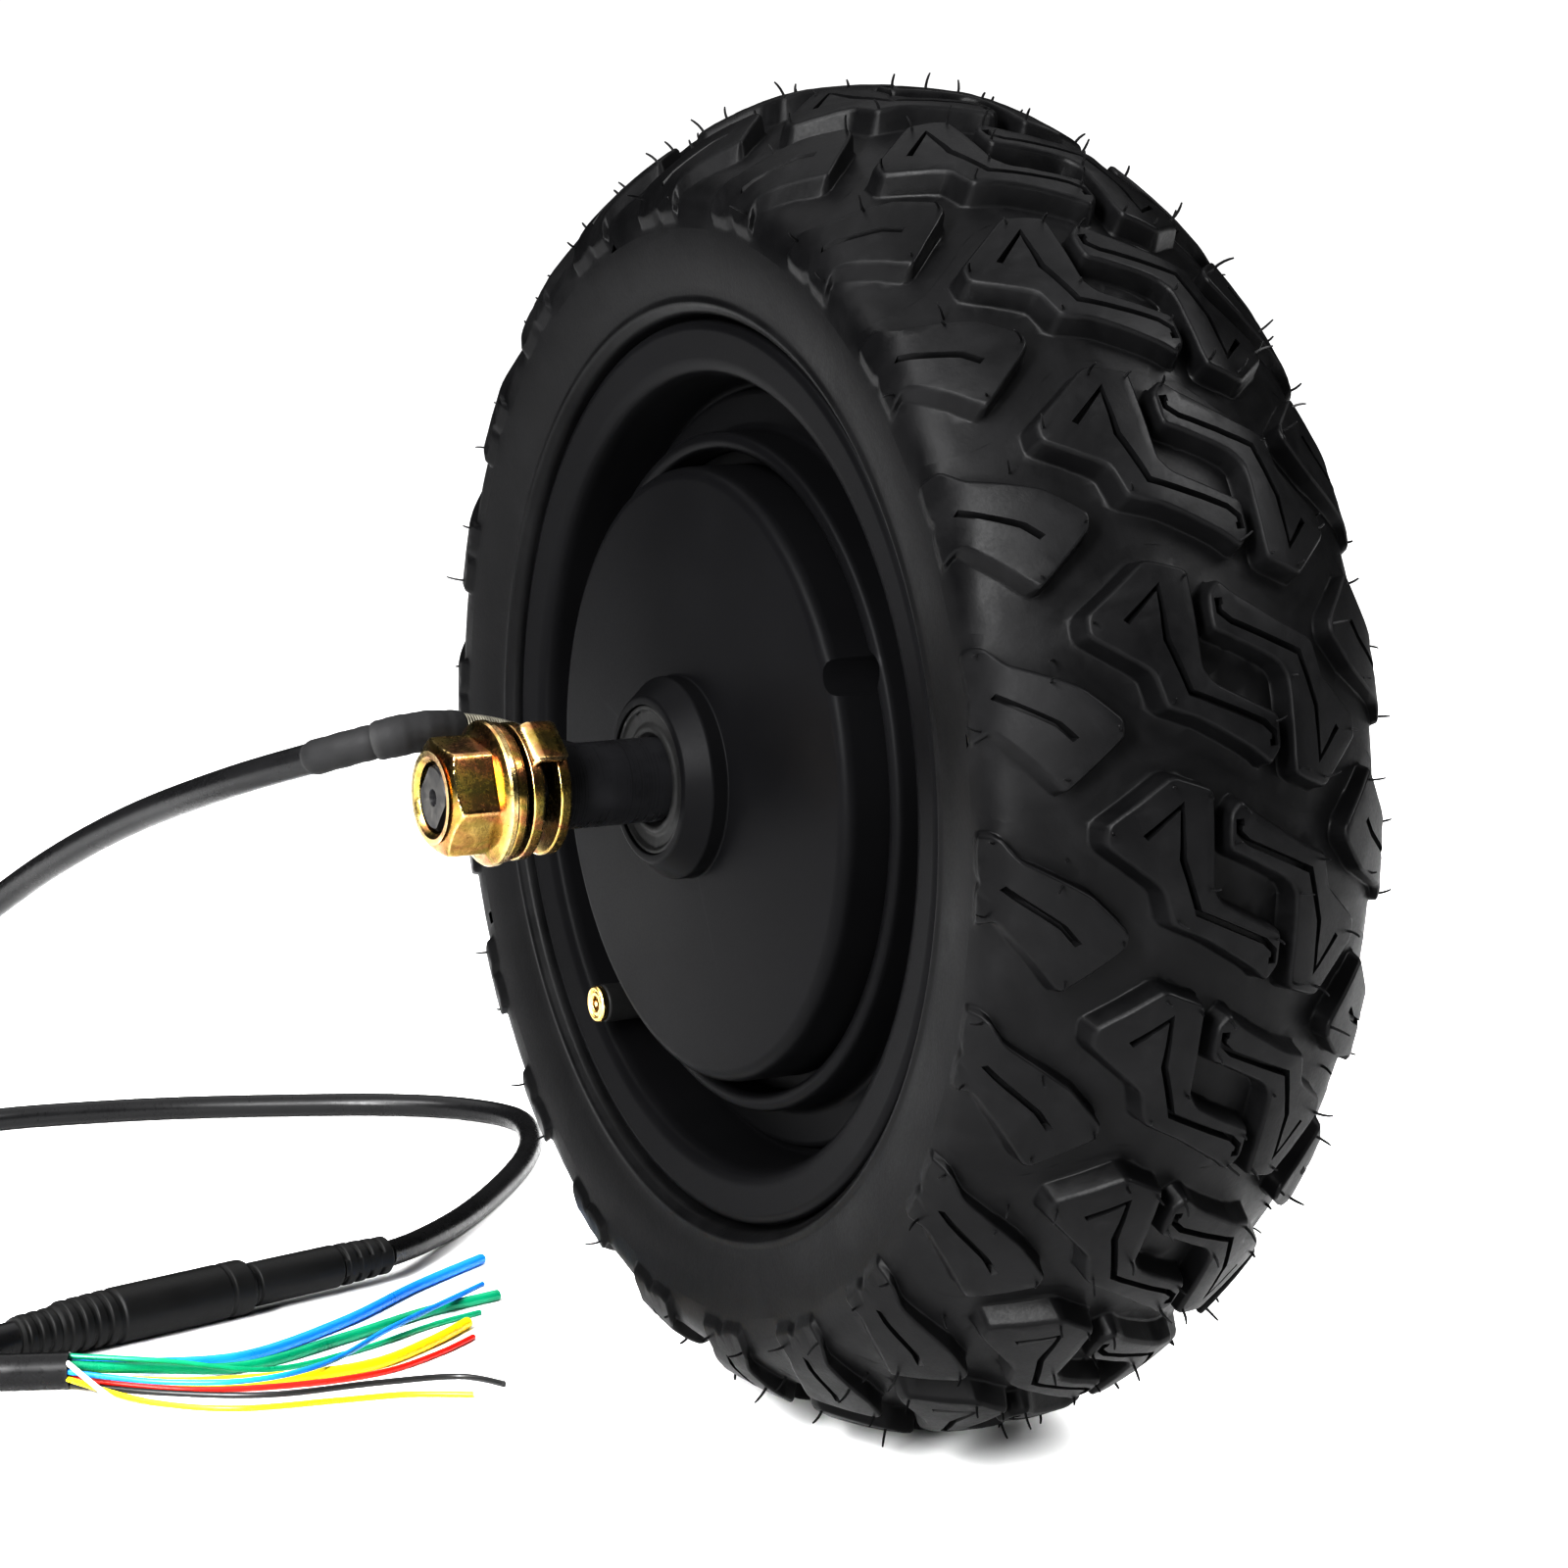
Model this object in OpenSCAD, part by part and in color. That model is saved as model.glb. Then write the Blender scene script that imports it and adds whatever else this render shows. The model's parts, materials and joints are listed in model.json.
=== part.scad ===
// Hub motor wheel: pneumatic tyre on a one-piece rim and hub shell, an outrunner motor on a fixed axle,
// and a cable with a waterproof connector. Millimetres, origin at the wheel's centre, axle along Y.

/* [Tyre] */
// Outer radius of the tread
tyre_r = 137.5; // [136:0.5:139]
// Depth of the tread grooves at the crown
tread_depth = 4.8; // [3:0.2:6]
// Number of tread pitches round the tyre
pitches = 22; // [18:1:24]

/* [Hub] */
// Outer radius of the rim flange
flange_r = 91.2; // [90:0.2:93]
// Radius of the cover discs
cover_r = 62; // [58:0.5:63]
// Height of the cable-side boss above the wheel's middle plane
boss_h = 52.2; // [50:0.2:56]

/* [Axle] */
// Radius of the axle shoulder, for 17 mm bearings
shoulder_r = 8.49; // [8.4:0.01:8.5]
// Radius of the threaded ends
thread_r = 7; // [6:0.5:7]
// Width across the two flats of the threaded ends
flats_w = 10; // [9:0.5:12]
// Half length of the axle
axle_half = 98.5; // [92:0.5:105]

/* [Motor] */
// Number of stator teeth
teeth = 27; // [18:3:27]
// Number of magnets
magnet_n = 30; // [20:2:32]

/* [Hidden] */
$fn = 96;
cable_r = 3.15;
tail_r = 4;
thick_r = 1.3;
thin_r = 0.65;
// valve hole, cover screws and bearing seats
valve_a = 227.5;
valve_ring_r = 73.5;
screw_ring_r = 70.5;
seat_h = 26;
bearing_w = 12;
// directions round the axle, in degrees
flats_a = 137;
lug_a = 48;
cable_exit_a = 165;
lead_exit_a = 135;
// where the nut and the three washers sit along the axle
nut_h = 86.5;
washer_h = 84.2;
tab_h = 80.6;
flat_h = 74.5;

// ---- frames: the wheel is drawn with its axis along +Z and turned so that +Z becomes -Y ----
module wheel() { rotate([90, 0, 0]) children(); }
module other_side() { rotate([180, 0, 0]) children(); }
module at(a, r, h) { rotate([0, 0, a]) translate([r, 0, h]) children(); }

// ---- swept tubes ----
function unit(v) = v / norm(v);
function cr(p0, p1, p2, p3, t) = 0.5 * (2 * p1 + (p2 - p0) * t + (2 * p0 - 5 * p1 + 4 * p2 - p3) * t * t
  + (3 * p1 - p0 - 3 * p2 + p3) * t * t * t);
function route(P, a, b, n) = concat([for (i = [a : b - 1]) for (k = [0 : n - 1])
  cr(P[max(i - 1, 0)], P[i], P[i + 1], P[min(i + 2, len(P) - 1)], k / n)], [P[b]]);
function tang(P) = [for (i = [0 : len(P) - 1]) unit(P[min(i + 1, len(P) - 1)] - P[max(i - 1, 0)])];
function ring(c, t, r, n, up) = let (u = unit(cross(t, up)), w = cross(u, t))
  [for (k = [0 : n - 1]) c + r * (cos(360 * k / n) * u + sin(360 * k / n) * w)];
function side_faces(m, n, o, flip) = [for (i = [0 : m - 2]) for (k = [0 : n - 1]) for (j = [0, 1])
  let (a = o + i * n + k, b = o + i * n + (k + 1) % n, c = a + n, d = b + n,
       f = j == 0 ? [a, c, b] : [b, c, d]) flip ? [f[2], f[1], f[0]] : f];
module tube(P, r, n, up = [0, 0, 1]) {
  T = tang(P);
  m = len(P);
  V = [for (i = [0 : m - 1]) each ring(P[i], T[i], r, n, up)];
  F = concat(side_faces(m, n, 0, true),
    [for (k = [1 : n - 2]) [0, k + 1, k]],
    [for (k = [1 : n - 2]) [(m - 1) * n, (m - 1) * n + k, (m - 1) * n + k + 1]]);
  polyhedron(V, [for (f = F) [f[2], f[1], f[0]]]);
}
module pipe(P, r, ri, n, up = [0, 0, 1]) {
  T = tang(P);
  m = len(P);
  V = concat([for (i = [0 : m - 1]) each ring(P[i], T[i], r, n, up)],
    [for (i = [0 : m - 1]) each ring(P[i], T[i], ri, n, up)]);
  o = m * n;
  e = (m - 1) * n;
  F = concat(side_faces(m, n, 0, true), side_faces(m, n, o, false),
    [for (k = [0 : n - 1]) let (q = (k + 1) % n) each [[k, o + k, q], [q, o + k, o + q]]],
    [for (k = [0 : n - 1]) let (q = (k + 1) % n)
      each [[e + k, e + q, o + e + k], [e + q, o + e + q, o + e + k]]]);
  polyhedron(V, [for (f = F) [f[2], f[1], f[0]]]);
}

// ---- tyre ----
casing = [[82.75, 20], [82.75, 30.6], [84, 32.1], [88, 33.1], [91.6, 34.2], [92.2, 36.5], [92.4, 38.8],
  [95, 39.8],
  [100, 40.9], [107, 42], [113, 42], [116.5, 40.4], [119.8, 36.5], [123.6, 30.5], [127.4, 22.5], [131.2, 13],
  [tyre_r - tread_depth, 8], [tyre_r - tread_depth, 0]];
inner = [[82.75, 20], [86, 20.5], [89.5, 24], [93, 31], [100, 35.6], [108, 37], [115, 35.5], [120.5, 30.5],
  [124.5, 22.5], [127, 13], [128, 0]];
crown = [[tyre_r, 0], [tyre_r, 9], [tyre_r - 1.2, 13], [tyre_r - 5.2, 22.5], [tyre_r - 9.7, 30.5],
  [tyre_r - 14.2, 36.5],
  [tyre_r - 18.1, 40.5], [tyre_r - 23.5, 42.9]];
crown_in = [[tyre_r - 6, 0], [130, 13], [126.2, 22.5], [122.4, 30.5], [118.8, 36], [115, 39], [112, 40]];
function neg(L) = [for (i = [len(L) - 1 : -1 : 0]) [L[i][0], -L[i][1]]];
function cut(L, a, b) = [for (i = [a : b]) L[i]];
// tread outlines: degrees round the tyre, millimetres across it, for one pitch
mid_deg = 12.1;
mm_per_deg = 2.34;
block = [[5.1, -3.3], [6.3, -5.7], [8.8, -5.7], [9.7, -1.1], [11.4, 6.8], [12.6, 8.9], [20, 8.9],
  [21.2, 16.2],
  [17.6, 26.9], [16, 26.9], [12.6, 17.6], [9.9, 16.1], [8.7, 9.5], [6.1, -0.7]];
shoulder = [[4, 32.8], [8.1, 23.3], [9.3, 23], [12.1, 28.8], [14.8, 38.9], [16.7, 41.8], [16.7, 46],
  [8.6, 46],
  [9.5, 41.8], [7.9, 38.9]];
module lug(L, s) {
  rotate([0, 90, 0]) translate([0, 0, 104]) linear_extrude(40)
    polygon([for (p = L) [-s * p[1], s * (p[0] - mid_deg) * mm_per_deg]]);
}
module tyre() {
  color([0.06, 0.06, 0.065]) wheel() union() {
    rotate_extrude() polygon(concat(casing, cut(neg(casing), 1, len(casing) - 1),
      cut([for (i = [0 : len(inner) - 1]) [inner[i][0], -inner[i][1]]], 1, len(inner) - 2),
      [for (i = [len(inner) - 1 : -1 : 1]) inner[i]]));
    intersection() {
      rotate_extrude() polygon(concat(neg(crown), cut(crown, 1, len(crown) - 1),
        [for (i = [len(crown_in) - 1 : -1 : 0]) crown_in[i]],
        cut([for (q = crown_in) [q[0], -q[1]]], 1, len(crown_in) - 1)));
      for (k = [0 : pitches - 1]) rotate([0, 0, mid_deg + k * 360 / pitches]) {
        lug(block, 1);
        lug(block, -1);
        lug(shoulder, 1);
        lug(shoulder, -1);
      }
    }
  }
}

// ---- rim and hub shell ----
module pry_pocket() { at(23, 63.8, 26) cylinder(r = 4.2, h = 20); }
module rim_hub() {
  color([0.10, 0.10, 0.11]) wheel() difference() {
    rotate_extrude() polygon([
      [62.1, -20], [65, -20], [65, -24.5], [76.5, -24.5], [77.2, -23.5], [78, -21.5], [79, -22], [79.6, -30],
      [80.2, -35], [80.6, -36.2], [81.4, -37], [83, -37.6], [89.5, -38.4], [flange_r - 0.3, -37.8],
      [flange_r, -36.5],
      [flange_r - 0.4, -34.4], [88, -33.4], [84.3, -32.8], [83, -31.8], [82.6, -31], [82.6, -19], [81.5, -17],
      [78.8, -13], [78, -10], [78, 10], [78.8, 13], [81.5, 17], [82.6, 19], [82.6, 31], [83, 31.8],
      [84.3, 32.8],
      [88, 33.4], [flange_r - 0.4, 34.4], [flange_r, 36.5], [flange_r - 0.3, 37.8], [89.5, 38.4], [83, 37.6],
      [81.4, 37], [80.6, 36.2], [80.2, 35], [79.6, 30], [79, 22], [78, 21.5], [77.2, 23.5], [76.5, 24.5],
      [70.2, 24.5],
      [69.2, 25], [68.8, 26], [68.8, 32.4], [68.2, 33.6], [67, 34.2], [65.8, 34], [65, 33.2], [65, 20],
      [62.1, 20]]);
    at(valve_a, valve_ring_r, 8) cylinder(r = 4.05, h = 20);
    at(valve_a, valve_ring_r, 10) rotate([0, 90, 0]) cylinder(r = 3, h = 12);
    pry_pocket();
    for (a = [18 : 36 : 359]) at(a, screw_ring_r, -25) cylinder(r = 2.03, h = 13);
  }
}

// ---- covers ----
module cable_side_cover() {
  color([0.12, 0.12, 0.13]) wheel() difference() {
    rotate_extrude() polygon([[65, 20], [65, 22], [63.4, 22], [63.4, 23.6], [65, 23.6], [65, 27],
      [cover_r, 27],
      [cover_r, 36.2], [cover_r - 0.27, 37.9], [cover_r - 1.05, 39.43], [cover_r - 2.27, 40.65],
      [cover_r - 3.8, 41.43], [cover_r - 5.5, 41.7], [21.3, 44.2],
      [20.7, 44.4], [20.4, 44.8], [20.4, boss_h - 4.7], [20.2, boss_h - 4.3], [17, boss_h - 0.3],
      [16.6, boss_h],
      [15, boss_h], [15, 45], [13, 45], [13, 38], [20, 38], [20, 26], [26, 26], [26, 36.5], [55.5, 35.5],
      [56.5, 34.5], [56.5, 20]]);
    pry_pocket();
  }
}
module disc_side_cover() {
  color([0.12, 0.12, 0.13]) wheel() other_side() difference() {
    rotate_extrude() polygon([[65, 20], [65, 22], [63.4, 22], [63.4, 23.6], [65, 23.6], [65, 24.5],
      [75.5, 24.5],
      [75.5, 28.2], [74.7, 29], [cover_r + 1, 29], [cover_r, 30], [cover_r, 38.4], [cover_r - 0.6, 40.2],
      [cover_r - 1.8, 41.2], [cover_r - 3.2, 41.5], [31, 42.8], [29.6, 43.6], [29, 44.6], [29, 48.6],
      [28.6, 49],
      [15, 49], [15, 42], [13, 42], [13, 38], [20, 38], [20, 26], [26, 26], [26, 36.5], [55.5, 35.5],
      [56.5, 34.5], [56.5, 20]]);
    for (a = [30 : 60 : 359]) at(a, 22, 40) cylinder(r = 2.5, h = 10);
    for (a = [18 : 36 : 359]) at(a, screw_ring_r, 20) cylinder(r = 2.2, h = 12);
  }
}
module cover_screws() {
  color([0.55, 0.55, 0.57]) wheel() other_side()
    for (a = [18 : 36 : 359]) at(a, screw_ring_r, 0) difference() {
    union() {
      translate([0, 0, 15]) cylinder(r = 2, h = 14.1);
      translate([0, 0, 29]) cylinder(r = 3.5, h = 3.5);
    }
    translate([0, 0, 30.4]) cylinder(r = 1.7, h = 3, $fn = 6);
  }
}
module cover_ring() {
  rotate_extrude() polygon([[63.4, 22], [65, 22], [65, 23.6], [63.4, 23.6]]);
}
module cable_cover_ring() { color([0.05, 0.05, 0.05]) wheel() cover_ring(); }
module disc_cover_ring() { color([0.05, 0.05, 0.05]) wheel() other_side() cover_ring(); }

// ---- rotor inside ----
module flux_ring() {
  color([0.45, 0.45, 0.47]) wheel() difference() {
    cylinder(r = 62.1, h = 32, center = true);
    cylinder(r = 58, h = 34, center = true);
  }
}
module magnets() {
  color([0.72, 0.72, 0.75]) wheel() for (k = [0 : magnet_n - 1]) rotate([0, 0, k * 360 / magnet_n])
    rotate([0, 0, -5.2]) rotate_extrude(angle = 10.4) translate([55, -15]) square([3, 30]);
}

// ---- bearings and seals ----
ball_r = 3.35;
pitch_r = 14.25;
module bearing_inner_at(h) {
  rotate_extrude() difference() {
    translate([shoulder_r, h]) square([11.9 - shoulder_r, 12]);
    translate([pitch_r, h + 6]) circle(r = ball_r + 0.04);
  }
}
module bearing_outer_at(h) {
  rotate_extrude() difference() {
    translate([16.6, h]) square([3.4, 12]);
    translate([pitch_r, h + 6]) circle(r = ball_r + 0.04);
  }
}
module shields_at(h) {
  for (z = [h + 0.4, h + 11]) rotate_extrude() translate([12.3, z]) square([4.3, 0.6]);
}
module balls_at(h) { for (k = [0 : 7]) at(k * 45, pitch_r, h + 6) sphere(r = ball_r); }
module cage_at(h) {
  difference() {
    rotate_extrude() translate([pitch_r - 0.7, h + 3.2]) square([1.4, 5.6]);
    for (k = [0 : 7]) at(k * 45, pitch_r, h + 6) sphere(r = ball_r + 0.04);
  }
}
module cable_side_bearing_inner() { color([0.78, 0.78, 0.8]) wheel() bearing_inner_at(seat_h); }
module disc_side_bearing_inner() { color([0.78, 0.78, 0.8]) wheel() bearing_inner_at(-seat_h - bearing_w); }
module cable_side_bearing_outer() { color([0.78, 0.78, 0.8]) wheel() bearing_outer_at(seat_h); }
module disc_side_bearing_outer() { color([0.78, 0.78, 0.8]) wheel() bearing_outer_at(-seat_h - bearing_w); }
module cable_side_bearing_shields() { color([0.6, 0.6, 0.62]) wheel() shields_at(seat_h); }
module disc_side_bearing_shields() { color([0.6, 0.6, 0.62]) wheel() shields_at(-seat_h - bearing_w); }
module cable_side_balls() { color([0.85, 0.85, 0.87]) wheel() balls_at(seat_h); }
module disc_side_balls() { color([0.85, 0.85, 0.87]) wheel() balls_at(-seat_h - bearing_w); }
module cable_side_cage() { color([0.7, 0.6, 0.35]) wheel() cage_at(seat_h); }
module disc_side_cage() { color([0.7, 0.6, 0.35]) wheel() cage_at(-seat_h - bearing_w); }
module seal_body(h) {
  difference() {
    rotate_extrude() polygon([[8.55, h], [15, h], [15, h + 6.7], [14.2, h + 6.7], [13.6, h + 6.1],
      [11.2, h + 5.9],
      [10.4, h + 6.4], [9.4, h + 6.2], [8.55, h + 5.4]]);
    for (a = [111, 274]) at(a, 12.6, h + 5.2) cube([1.6, 0.5, 3], center = true);
  }
}
module cable_side_oil_seal() { color([0.04, 0.04, 0.04]) wheel() seal_body(45); }
module disc_side_oil_seal() { color([0.04, 0.04, 0.04]) wheel() other_side() seal_body(42); }

// ---- valve ----
module valve_stem() {
  color([0.75, 0.6, 0.3]) wheel() at(valve_a, valve_ring_r, 0) difference() {
    union() {
      translate([0, 0, 10]) cylinder(r = 3, h = 30.2);
      translate([0, 0, 40]) cylinder(r = 3.9, h = 1.5);
      translate([0, 0, 10]) rotate([0, 90, 0]) cylinder(r = 2.9, h = 6);
    }
    translate([0, 0, 10]) cylinder(r = 1.6, h = 32);
    translate([1.9, 0, 10]) rotate([0, 90, 0]) cylinder(r = 1.5, h = 6);
  }
}
module valve_rubber() {
  color([0.05, 0.05, 0.05]) wheel() at(valve_a, valve_ring_r, 0) difference() {
    union() {
      translate([0, 0, 13.5]) cylinder(r = 4.02, h = 11.2);
      translate([0, 0, 24.6]) cylinder(r = 4.15, h = 1.7);
      translate([0, 0, 29.4]) cylinder(r = 4.1, h = 10.6);
    }
    cylinder(r = 3, h = 42);
    translate([0, 0, 26.3]) cylinder(r = 8, h = 3.1);
  }
}
module valve_nut() {
  color([0.75, 0.6, 0.3]) wheel() at(valve_a, valve_ring_r, 0) difference() {
    translate([0, 0, 26.3]) rotate([0, 0, 30]) cylinder(r = 5.2, h = 3.1, $fn = 6);
    cylinder(r = 3.02, h = 40);
  }
}
module valve_core() {
  color([0.8, 0.68, 0.4]) wheel() at(valve_a, valve_ring_r, 0) union() {
    translate([0, 0, 24]) cylinder(r = 0.7, h = 17.3);
    translate([0, 0, 32]) cylinder(r = 1.5, h = 3);
  }
}

// ---- stator ----
module key_bar(l) { translate([-2.5, -14.4, -l / 2]) cube([5, 4.8, l]); }
module shaft_key() { color([0.5, 0.5, 0.52]) wheel() key_bar(18); }
module stator_spider() {
  color([0.62, 0.62, 0.64]) wheel() difference() {
    union() {
      difference() { cylinder(r = 30, h = 24, center = true); cylinder(r = 26, h = 26, center = true); }
      cylinder(r = 27, h = 8, center = true);
      cylinder(r = 17, h = 20, center = true);
    }
    cylinder(r = 12, h = 30, center = true);
    for (a = [60 : 60 : 359]) at(a, 21.5, -6) cylinder(r = 3.4, h = 12);
    key_bar(22);
  }
}
module stator_core() {
  color([0.35, 0.36, 0.4]) wheel() linear_extrude(28, center = true) difference() {
    union() {
      circle(r = 38);
      for (k = [0 : teeth - 1]) rotate(k * 360 / teeth) translate([37, -2.2]) square([15.7, 4.4]);
      difference() {
        circle(r = 54.3);
        circle(r = 52);
        for (k = [0 : teeth - 1]) rotate((k + 0.5) * 360 / teeth) translate([50, -1.2]) square([6, 2.4]);
      }
    }
    circle(r = 30);
  }
}
module windings() {
  color([0.72, 0.38, 0.15]) wheel() for (k = [0 : teeth - 1]) rotate([0, 0, k * 360 / teeth]) difference() {
    translate([39.5, -4.2, -18]) cube([11.5, 8.4, 36]);
    translate([38, -2.2, -14]) cube([15, 4.4, 28]);
  }
}
module insulator_at(h) {
  difference() {
    translate([0, 0, h]) cylinder(r = 38.2, h = 1.2);
    translate([0, 0, h - 1]) cylinder(r = 30.5, h = 4);
  }
}
module insulator_cable_side() { color([0.75, 0.75, 0.7]) wheel() insulator_at(14); }
module insulator_disc_side() { color([0.75, 0.75, 0.7]) wheel() insulator_at(-15.2); }
module hall_board() {
  color([0.1, 0.35, 0.16]) wheel() translate([0, 0, 19]) rotate([0, 0, 30]) rotate_extrude(angle = 84)
    translate([41, 0]) square([12.6, 1.6]);
}
module hall_sensors() {
  color([0.06, 0.06, 0.07]) wheel()
    for (a = [46.67, 73.33, 100]) at(a, 51.4, 15) translate([0, -2, 0]) cube([1.6, 4, 4]);
}
module lead(side, lift, r) {
  u = [cos(lead_exit_a), sin(lead_exit_a), 0];
  v = [sin(lead_exit_a), -cos(lead_exit_a), 0];
  P = [for (q = [[38, 21], [32, 20.6], [24, 19.4], [16, 16.8], [9, 15.8], [3.6, 17.6], [0.9, 22], [0, 30],
      [0, 46]])
    (q[0] + lift[0]) * u + [0, 0, q[1] + lift[1]] + side * v];
  tube(route(P, 0, 8, 2), r, 8, v);
}
module phase_leads() {
  color([0.2, 0.35, 0.7]) wheel() {
    lead(-1.3, [1.2, 1.2], 0.8);
    lead(1.3, [1.2, 1.2], 0.8);
    lead(-1.3, [-1.2, -1.2], 0.8);
  }
}
module hall_leads() { color([0.7, 0.2, 0.2]) wheel() lead(1.3, [-1.2, -1.2], 0.8); }

// ---- axle and what is clamped on it ----
module threaded_end() {
  intersection() {
    union() {
      translate([0, 0, 70]) cylinder(r = thread_r, h = axle_half - 71.2);
      translate([0, 0, axle_half - 1.2]) cylinder(r1 = thread_r, r2 = thread_r - 1, h = 1.2);
    }
    rotate([0, 0, flats_a]) cube([flats_w, 40, 2 * axle_half + 4], center = true);
  }
}
module axle() {
  color([0.07, 0.07, 0.075]) wheel() difference() {
    union() {
      cylinder(r = shoulder_r, h = 149, center = true);
      cylinder(r = 10.5, h = 52, center = true);
      cylinder(r = 12, h = 40, center = true);
      threaded_end();
      other_side() threaded_end();
    }
    translate([0, 0, 12]) cylinder(r = 4, h = 38);
    translate([0, 0, 50]) sphere(r = 4);
    rotate([0, 0, cable_exit_a]) translate([0, 0, 48]) rotate([0, 45, 0]) cylinder(r = 3.6, h = 24);
    rotate([0, 0, lead_exit_a]) translate([0, 0, 16.4]) rotate([0, 90, 0]) cylinder(r = 5.2, h = 16);
    translate([0, 0, 12]) cylinder(r = 4.6, h = 14);
    key_bar(18);
    for (s = [0, 180]) rotate([s, 0, 0]) translate([0, 0, axle_half - 3])
      cylinder(r1 = 0.6, r2 = 1.7, h = 3.1);
  }
}
module nut_at(h) {
  translate([0, 0, h]) difference() {
    union() {
      cylinder(r1 = 14.4, r2 = 14.1, h = 1.6);
      translate([0, 0, 1.6]) cylinder(r1 = 14.1, r2 = 11, h = 1.8);
      intersection() {
        rotate([0, 0, -12]) cylinder(r = 12.12, h = 12.6, $fn = 6);
        union() {
          cylinder(r = 12.2, h = 11);
          translate([0, 0, 11]) cylinder(r1 = 12.2, r2 = 9.6, h = 1.6);
        }
      }
    }
    translate([0, 0, -1]) cylinder(r = thread_r + 0.03, h = 16);
    translate([0, 0, 11.8]) cylinder(r1 = thread_r, r2 = thread_r + 1, h = 1);
  }
}
module cable_side_nut() { color([0.8, 0.68, 0.3]) wheel() nut_at(nut_h); }
module disc_side_nut() { color([0.8, 0.68, 0.3]) wheel() other_side() nut_at(nut_h); }
module washer_at(h, r, t) {
  translate([0, 0, h]) difference() {
    cylinder(r = r, h = t);
    translate([0, 0, -1]) cylinder(r = thread_r + 0.15, h = t + 2);
  }
}
module tab_washer_at(h) {
  difference() {
    union() {
      translate([0, 0, h]) cylinder(r = 13.6, h = 2.5);
      rotate([0, 0, lug_a]) translate([10, -5, h]) cube([4.9, 10, 2.5]);
      rotate([0, 0, lug_a]) translate([13.3, -5, h - 5.4]) cube([1.6, 10, 5.6]);
    }
    intersection() {
      translate([0, 0, h - 1]) cylinder(r = thread_r + 0.15, h = 5);
      rotate([0, 0, flats_a]) cube([flats_w + 0.3, 40, 400], center = true);
    }
  }
}
module cable_side_washer() { color([0.5, 0.36, 0.2]) wheel() washer_at(washer_h, 13.8, 2.3); }
module disc_side_washer() { color([0.5, 0.36, 0.2]) wheel() other_side() washer_at(washer_h, 13.8, 2.3); }
module cable_side_tab_washer() { color([0.8, 0.68, 0.3]) wheel() tab_washer_at(tab_h); }
module disc_side_tab_washer() { color([0.8, 0.68, 0.3]) wheel() other_side() tab_washer_at(tab_h); }
module cable_side_flat_washer() { color([0.75, 0.66, 0.32]) wheel() washer_at(flat_h, 13, 2.6); }
module disc_side_flat_washer() { color([0.75, 0.66, 0.32]) wheel() other_side() washer_at(flat_h, 13, 2.6); }

// ---- motor cable, in the row's own axes ----
cable_route = [[-2.7, -50.5, 0.7], [-8.2, -56.5, 2.2], [-13, -62.5, 3.9], [-15.8, -69, 6.2], [-16.6, -77, 9],
  [-16.7, -85, 10.6], [-17.2, -93, 11], [-20.6, -101.5, 9.4], [-32, -111, 5.5], [-55, -120, -1],
  [-90, -127, -11],
  [-120, -133.5, -22], [-150, -140, -35.5], [-190, -152, -58], [-230, -163, -84], [-268, -171, -108],
  [-304, -172, -126], [-338, -160, -134], [-364, -134, -134.3], [-378, -103, -134.3], [-380, -74, -134.3],
  [-375, -50, -134.3], [-366, -25, -134.3], [-352, 2, -134.3], [-337, 26, -134.3], [-319, 43, -134.3],
  [-297, 50, -134.3], [-272, 43, -134.3], [-246, 29, -134.3], [-217, 8, -134.2], [-192, -13, -133.8],
  [-171, -33, -132.5], [-158.6, -47.1, -131.2]];
module motor_cable() { color([0.03, 0.03, 0.03]) tube(concat(route(cable_route, 0, 8, 1), [cable_route[8]],
  route(cable_route, 9, 32, 1)), cable_r, 10); }
module cable_spring() { color([0.75, 0.75, 0.77]) pipe(route(cable_route, 3, 6, 2), 3.65, 3.2, 12); }
module large_sleeve() { color([0.1, 0.1, 0.1]) pipe(route(cable_route, 5, 7, 3), 4.1, 3.75, 12); }
module small_sleeve() { color([0.1, 0.1, 0.1]) pipe(route(cable_route, 7, 8, 3), 3.55, 3.2, 12); }

// ---- connector pair lying on the ground ----
conn_a = -75.4;
module on_connector() {
  translate([-158.6, -47.1, -131]) rotate([0, 0, conn_a]) rotate([0, 90, 0]) children();
}
module connector_plug() {
  color([0.07, 0.07, 0.07]) on_connector() rotate_extrude() polygon([[0, 0], [3.9, 0], [4.5, 1.2], [4.7, 3.4],
    [4.2, 3.6], [4.2, 4.6], [4.8, 4.8], [4.9, 7], [4.3, 7.2], [4.3, 8.2], [4.9, 8.4], [5, 10.6], [4.4, 10.8],
    [4.4, 11.8], [5, 12], [5.1, 14.2], [4.5, 14.4], [4.5, 15.4], [5.1, 15.6], [5.2, 40.8], [3.4, 40.8],
    [3.4, 48], [0, 48]]);
}
module connector_socket() {
  color([0.07, 0.07, 0.07]) on_connector() rotate_extrude() polygon([[3.4, 40.8], [6.1, 40.8],
    [6.5, 41.6], [6.5, 77], [5.9, 77.2], [5.9, 78.2], [6.4, 78.4],
      [6.4, 80.4], [5.8, 80.6], [5.8, 81.6], [6.3, 81.8], [6.3, 83.8], [5.7, 84], [5.7, 85],
      [6.2, 85.2], [6.1, 90],
      [5.6, 92], [4.9, 92.4], [4.9, 93.6], [5.2, 94], [5.1, 96], [4.7, 96.4], [4.7, 97.4], [5, 98],
      [4.9, 101.4],
      [4.5, 102.4], [0, 102.4], [0, 48], [3.4, 48]]);
}

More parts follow.
